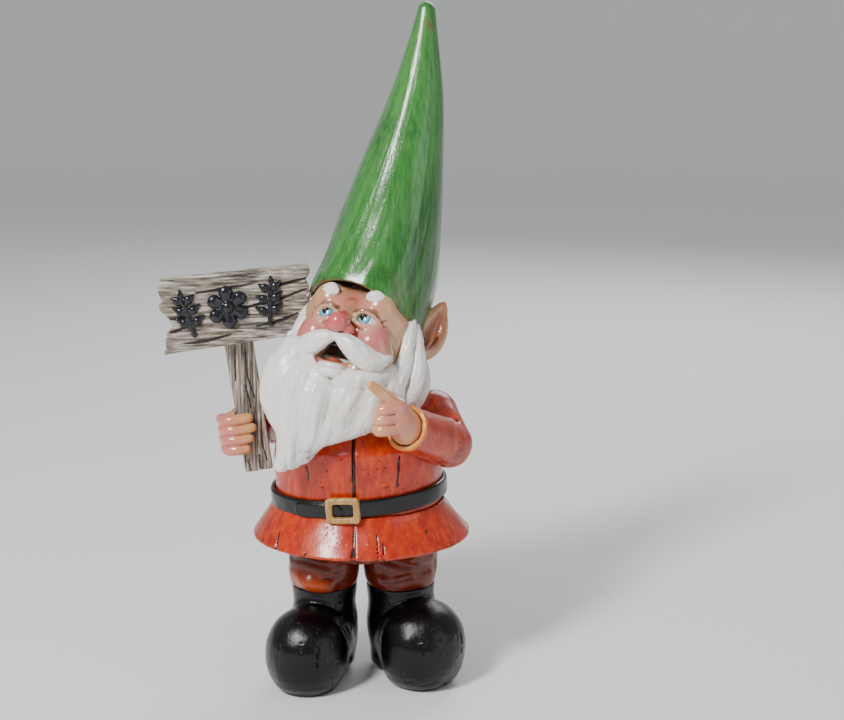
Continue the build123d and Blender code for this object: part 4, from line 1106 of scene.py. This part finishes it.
# ---------------------------------------------------------------- trousers and boots
LEGS = {"right": ((-22, 1), 20.0, (-31, -28, 24.5, 25.5), (-21.5, 5, 20, 19.3)),
        "left": ((25, 3), 21.0, (38, -19, 25, 27.0), (26, 7, 20, 19.3))}
for name, ((x, y), radius, toe, heel) in LEGS.items():
    side = np.sign(x)
    low_x, high_x = (-50, 1) if side < 0 else (-1, 50)
    clay = Clay((low_x, -42, 55), (high_x, 42, 114), 0.8)
    clay.ovals([(56.9, x, y, radius, radius), (60, x, y, radius + 1.0, radius + 1.0),
                (67, x, y, radius + 2, radius + 2), (90, x, y, radius + 2, radius + 2)])
    clay.ovals([(80, 0, 0, 40, 34), (86, 0, 0, 43.5, 36.3), (96, 0, 0, 45, 37), (112, 0, 0, 44.4, 36.4)], 4)
    for z, swell, depth in ((74, 1.0, 0.6), (66, -0.8, 0.5)):
        fold = []
        for spin in np.radians(np.linspace(-150 if side < 0 else -120, -60 if side < 0 else -20, 9)):
            fold.append((x + (radius + 2.3) * np.cos(spin), y + (radius + 2.3) * np.sin(spin),
                         z + swell * 3 * np.sin(spin * 2.2), depth))
        clay.limb(fold, 4.0, cut=True)
    if side < 0:
        clay.limb(bend([(-38, -8, 66, 3.5), (-30, -17.5, 63, 5.0), (-18, -17.5, 60.5, 4.0)]), 3)
        clay.keep_side((0, 0, -1), -56.9)
    clay.keep_side((-side, 0, 0), -0.2)
    points, quads = clay.skin()
    points = uneven(points, quads, (7, 7, 9), 71, 1.0)
    paint = tint(linear(104, 32, 14), points)
    if side < 0:
        paint = mix(paint, linear(184, 76, 40), np.clip((70 - points[:, 2]) / 7, 0, 1)
                    * np.clip((-14 - points[:, 0]) / 8, 0, 1) * (points[:, 1] < -4) * 0.85)
    piece(f"painted_{name}_trouser_leg", points, quads, TROUSER, stands_for=[f"{name}_trouser_leg"],
          paint=paint)

    first = np.array([min(x, toe[0]) - 30, toe[1] - 30, -1])
    last = np.array([max(x, toe[0]) + 30, y + 26, 59])
    clay = Clay(first, last, 0.75)
    clay.ovals([(5, x, y, radius - 2, radius - 2), (40, x, y, radius - 1.2, radius - 1.2),
                (52, x, y, radius - 0.3, radius - 0.3), (57, x, y, radius, radius)])
    clay.limb([heel, toe], 1.5)
    flat = ((1.0, 0.66), (3.0, 0.76), (6.0, 0.845), (12.0, 0.93), (17.0, 0.95), (24.0, 0.9))
    for ball in (heel, toe):
        clay.ovals([(z, ball[0], ball[1], ball[3] * share, ball[3] * share) for z, share in flat], 3.0)
    clay.limb([(x, y, 30, radius - 1.5), (*((np.array([x, y]) + toe[:2]) / 2 + (0, 1)), 29.5,
                                          radius - 0.5)], 7)
    across = np.array([toe[0] - x, toe[1] - y, 0.0])
    across /= np.linalg.norm(across)
    sideways = np.array([-across[1], across[0], 0.0])
    welt = []
    for share in np.linspace(-1, 1, 15):
        spot = np.array([x, y, 0.0]) + across * (8 - 4 * share**2) + sideways * share * 19.5
        welt.append((*spot[:2], 46.5 - 10.5 * share**2 + share * 1.0, 1.3))
    clay.limb(welt, 1.4)
    for share in (-0.35, 0.2, 0.55):
        foot = np.array(toe[:3]) + sideways * share * toe[3]
        start = foot + across * toe[3] * np.sqrt(max(1 - share**2, 0)) * 0.9 + (0, 0, 10)
        clay.limb([(*start, 0.4), (*(start + across * 1.2 - (0, 0, 12)), 0.6)], 1.0, cut=True)
    clay.keep_side((0, 0, -1), -0.9, 0.8).keep_side((0, 0, 1), 56.9, 0.6)
    points, quads = clay.skin()
    lumps = noise(points, (9, 9, 9), 81) - 0.5
    chipped = noise(points, (14, 14, 14), 83) > 0.5
    chips = np.clip(noise(points, (2.2, 2.2, 3.2), 82) - 0.72, 0, 1) * chipped
    points = points + normals(points, quads) * (lumps * 0.9 - chips * 2.2)[:, None] * (points[:, 2:3] > 3.0)
    piece(f"painted_{name}_boot", points, quads, BLACK, stands_for=[f"{name}_boot"],
          scores=clay.scores)

# ---------------------------------------------------------------- sign
OUTLINE = np.array([(-40.4, 102.3), (47, 97.5), (48, 95.5), (45.5, 84), (43, 75), (38.5, 65), (29, 57),
                    (-44, 57.5), (-41.8, 66), (-37, 74), (-41.4, 83)], float)


def polygon(x, z, corners):
    """Signed distance in the plane to a closed outline."""
    best = np.full(x.shape, 1e9)
    inside = np.zeros(x.shape, bool)
    for (ax, az), (bx, bz) in zip(corners, np.roll(corners, -1, axis=0)):
        ex, ez = bx - ax, bz - az
        share = np.clip(((x - ax) * ex + (z - az) * ez) / (ex * ex + ez * ez), 0, 1)
        best = np.minimum(best, np.hypot(x - ax - share * ex, z - az - share * ez))
        crosses = (az > z) != (bz > z)
        with np.errstate(divide="ignore", invalid="ignore"):
            at = ax + (z - az) * ex / (ez if ez else 1e-9)
        inside ^= crosses & (x < at)
    return np.where(inside, -best, best)


clay = Clay((-48, -15.5, 54), (51, -2.5, 106), 0.5)
flat_x, flat_z = clay.at[0][:, 0, :], clay.at[2][:, 0, :]
level = flat_z + flat_x * 0.055
places = np.stack([flat_x.ravel(), np.zeros(flat_x.size), level.ravel()], 1)
ragged = (noise(places, (14, 1, 2.4), 91) - 0.5).reshape(flat_x.shape)
edge = polygon(flat_x + ragged * 3.0 * (np.abs(flat_x) > 30), flat_z, OUTLINE)
grain = noise(places, (26, 1, 1.5), 92) * 0.55 + noise(places, (40, 1, 3.6), 93) * 0.9
grain += noise(places, (9, 1, 0.9), 94) * 0.3
relief = (grain.reshape(flat_x.shape) - 0.95) * 1.5
thick = np.abs(clay.at[1] + 9.0) - (4.35 + np.minimum(relief, 0.25)[:, None, :])
clay.depth = -blend_min(-thick.astype(np.float32), -edge[:, None, :].astype(np.float32), 0.8)
for line in (((-4, 76.4), (14, 78.6), (30, 80.4), (44, 83.4)), ((-44, 79), (-33, 77.6), (-22, 79.4)),
             ((-41, 71), (-35, 70.4), (-29, 72.2)), ((-20, 91), (0, 91), (16, 92)),
             ((12, 66), (26, 67), (37, 70)),
             ((-38, 63), (-20, 62), (-4, 63.4)), ((20, 88), (34, 88.6), (46, 90))):
    for face_y in (-13.4, -4.6):
        chain = bend([(x, face_y, z, 0.4 + 0.5 * (0 < i < len(line) - 1)) for i, (x, z) in enumerate(line)],
                     12)
        clay.limb(chain, 0.5, cut=True)
for x, z in ((46, 71), (36, 57), (47, 88), (-46, 77.5)):
    clay.limb([(x, -16, z, 2.4), (x, -1, z + 1, 2.0)], 0.8, cut=True)
clay.depth = -blend_min(-clay.depth, slab(clay.at - np.array([0, 0, 78])[:, None, None, None],
                                          (8.7, 4.58, 30), 0.3), 0)
points, quads = clay.skin()
piece("weathered_board", points, quads, BOARD, "sign", ["sign_board"], axes=SIGN,
      scores=clay.scores)

clay = Clay((-10, -6.5, -26), (10, 6.5, 95), 0.5)
places = np.stack([clay.at[0].ravel(), clay.at[1].ravel(), clay.at[2].ravel()], 1)
grain = noise(places, (1.5, 3.0, 30), 101) * 0.5 + noise(places, (3.6, 6.0, 46), 102) * 0.8
relief = (grain.reshape(clay.depth.shape) - 0.72).astype(np.float32)
clay.depth = slab([clay.at[0], clay.at[1], clay.at[2] - 34.5], (8.5, 4.4, 58.4), 0.9)
outside_hand = np.clip((np.abs(clay.at[2] - 2) - 15) / 3, 0, 1)
clay.depth = clay.depth - np.minimum(relief * 0.9, 0.1 + 0.25 * outside_hand)
for line in (((3, 50), (2, 36), (4, 22)), ((-4, 46), (-5.4, 34)), ((5.6, 8), (4.6, -8), (5.6, -18)),
             ((0, 30), (1, 16)), ((-6, -16), (-5, -23)), ((1.5, -14), (0.6, -22))):
    for face_y in (-4.5, 4.5):
        clay.limb(bend([(x, face_y, z, 0.35) for x, z in line], 8), 0.4, cut=True)
points, quads = clay.skin()
piece("weathered_post", points, quads, POST, "sign", ["sign_post"], axes=SIGN,
      scores=clay.scores)

FACE_Y = -13.4
for name, x, lean in (("right", -27.0, -1), ("left", 22.0, 1)):
    clay = Clay((x - 15, -18.5, 62), (x + 15, -11.5, 96), 0.32)
    tilt = np.radians(8.0 * lean)
    stem = [(x + (z - 79) * np.sin(tilt) * 1.2, FACE_Y - 0.7, z, 1.5 if z < 88 else 1.0)
            for z in np.linspace(66.5, 92, 9)]
    clay.limb(stem, 0.6)
    for level, long in ((71.5, 6.2), (78.5, 6.0), (85.5, 5.0)):
        for side in (-1, 1):
            base = np.array([x + (level - 79) * np.sin(tilt) * 1.2, FACE_Y - 0.6, level])
            end = base + np.array([side * long * 1.25, 0, long * 0.95])
            middle = (base + end) / 2
            clay.limb([(*base, 1.0), (*middle, 2.7), (*end, 0.8)], 0.6, flat=((0, 1, 0), 0.75))
            clay.limb([(*(base + (0, -2.4, 0)), 0.3), (*(end + (0, -1.8, 0)), 0.3)], 0.6, cut=True)
    clay.limb([(x + 13 * np.sin(tilt) * 1.2, FACE_Y - 0.6, 91, 1.6),
               (x + 16 * np.sin(tilt), FACE_Y - 0.6, 94, 0.8)],
              0.6)
    clay.keep_side((0, 1, 0), FACE_Y + 1.2)
    points, quads = clay.skin()
    piece(f"raised_{name}_sprig", points, quads, MOTIF, "sign", [f"sign_{name}_sprig"],
          axes=SIGN)

clay = Clay((-18, -20, 65), (12, -11.5, 95), 0.32)
for number in range(6):
    spin = np.radians(90 + 60 * number)
    at = np.array([-3 + 8.4 * np.cos(spin), FACE_Y - 0.6, 80 + 8.4 * np.sin(spin)])
    start = np.array([-3 + 4.4 * np.cos(spin), FACE_Y - 0.4, 80 + 4.4 * np.sin(spin)])
    clay.limb([(*start, 2.8), (*at, 4.3)], 0.5, flat=((0, 1, 0), 0.62))
    clay.limb([(*(start + (0, -3.4, 0)), 0.5), (*(at + (0, -3.0, 0)), 0.3)], 0.8, cut=True)
clay.limb([(-3, FACE_Y - 1.6, 80, 3.7)], 0.5, flat=((0, 1, 0), 0.75))
clay.keep_side((0, 1, 0), FACE_Y + 1.2)
points, quads = clay.skin()
piece("raised_flower", points, quads, MOTIF, "sign", ["sign_flower"], axes=SIGN)

# ---------------------------------------------------------------- floor, light and camera
for name, node in NODES.items():
    if not node.hide_render and not node.data.materials:
        node.data.materials.append(PEG)

floor_paint = Paint("floor", 0.75, 0.0)
floor_paint.colour = (0.86, 0.86, 0.86)
floor_paint.over(floor_paint.times(floor_paint.grain((6, 6, 6), 3), 0.2), (0.92, 0.92, 0.92))
floor_material = floor_paint.done()
# a round floor whose rim curves up, so that no horizon shows from any side
FLAT, SWEEP, SIDES = 3.0, 1.8, 96
profile = [(0.02, 0.0), (0.6, 0.0)] + [(FLAT + SWEEP * np.sin(t), SWEEP * (1 - np.cos(t)))
                                       for t in np.linspace(0, np.pi / 2, 24)]
corners = [(r * np.cos(spin), r * np.sin(spin), z) for r, z in profile
           for spin in np.linspace(0, 2 * np.pi, SIDES, endpoint=False)]
faces = [(row * SIDES + side, (row + 1) * SIDES + side, (row + 1) * SIDES + (side + 1) % SIDES,
          row * SIDES + (side + 1) % SIDES) for row in range(len(profile) - 1) for side in range(SIDES)]
mesh = bpy.data.meshes.new("floor")
mesh.from_pydata(corners, [], faces + [tuple(range(SIDES))])
mesh.shade_smooth()
mesh.materials.append(floor_material)
floor = bpy.data.objects.new("floor", mesh)
bpy.context.scene.collection.objects.link(floor)

world = bpy.data.worlds.new("studio")
world.use_nodes = True
world.node_tree.nodes["Background"].inputs["Color"].default_value = (0.96, 0.98, 1.0, 1)
world.node_tree.nodes["Background"].inputs["Strength"].default_value = 0.42
bpy.context.scene.world = world

CENTRE = Vector((AXIS[0] + 0.0384, AXIS[1], 0.197))


def lamp(name, at, size, power, colour=(1, 1, 1), target=CENTRE):
    data = bpy.data.lights.new(name, "AREA")
    data.shape = "RECTANGLE"
    data.size, data.size_y = size
    data.energy = power
    data.color = colour
    light = bpy.data.objects.new(name, data)
    light.location = at
    light.rotation_euler = (target - Vector(at)).to_track_quat("-Z", "Y").to_euler()
    bpy.context.scene.collection.objects.link(light)


lamp("key", (-0.75, -1.05, 1.25), (0.3, 0.5), 33, (1.0, 0.98, 0.95))
lamp("fill", (1.5, -1.0, 0.6), (1.0, 1.2), 4.5, (0.92, 0.96, 1.0))
lamp("rim", (0.5, 1.3, 1.1), (1.0, 0.8), 12)

camera_data = bpy.data.cameras.new("camera")
camera_data.sensor_width = 36.0
camera_data.lens = 64.0
camera = bpy.data.objects.new("camera", camera_data)
elevation, distance = np.radians(12.0), 0.9
camera.location = CENTRE + Vector((0, -distance * np.cos(elevation), distance * np.sin(elevation)))
camera.rotation_euler = (CENTRE - camera.location).to_track_quat("-Z", "Y").to_euler()
bpy.context.scene.collection.objects.link(camera)
bpy.context.scene.camera = camera
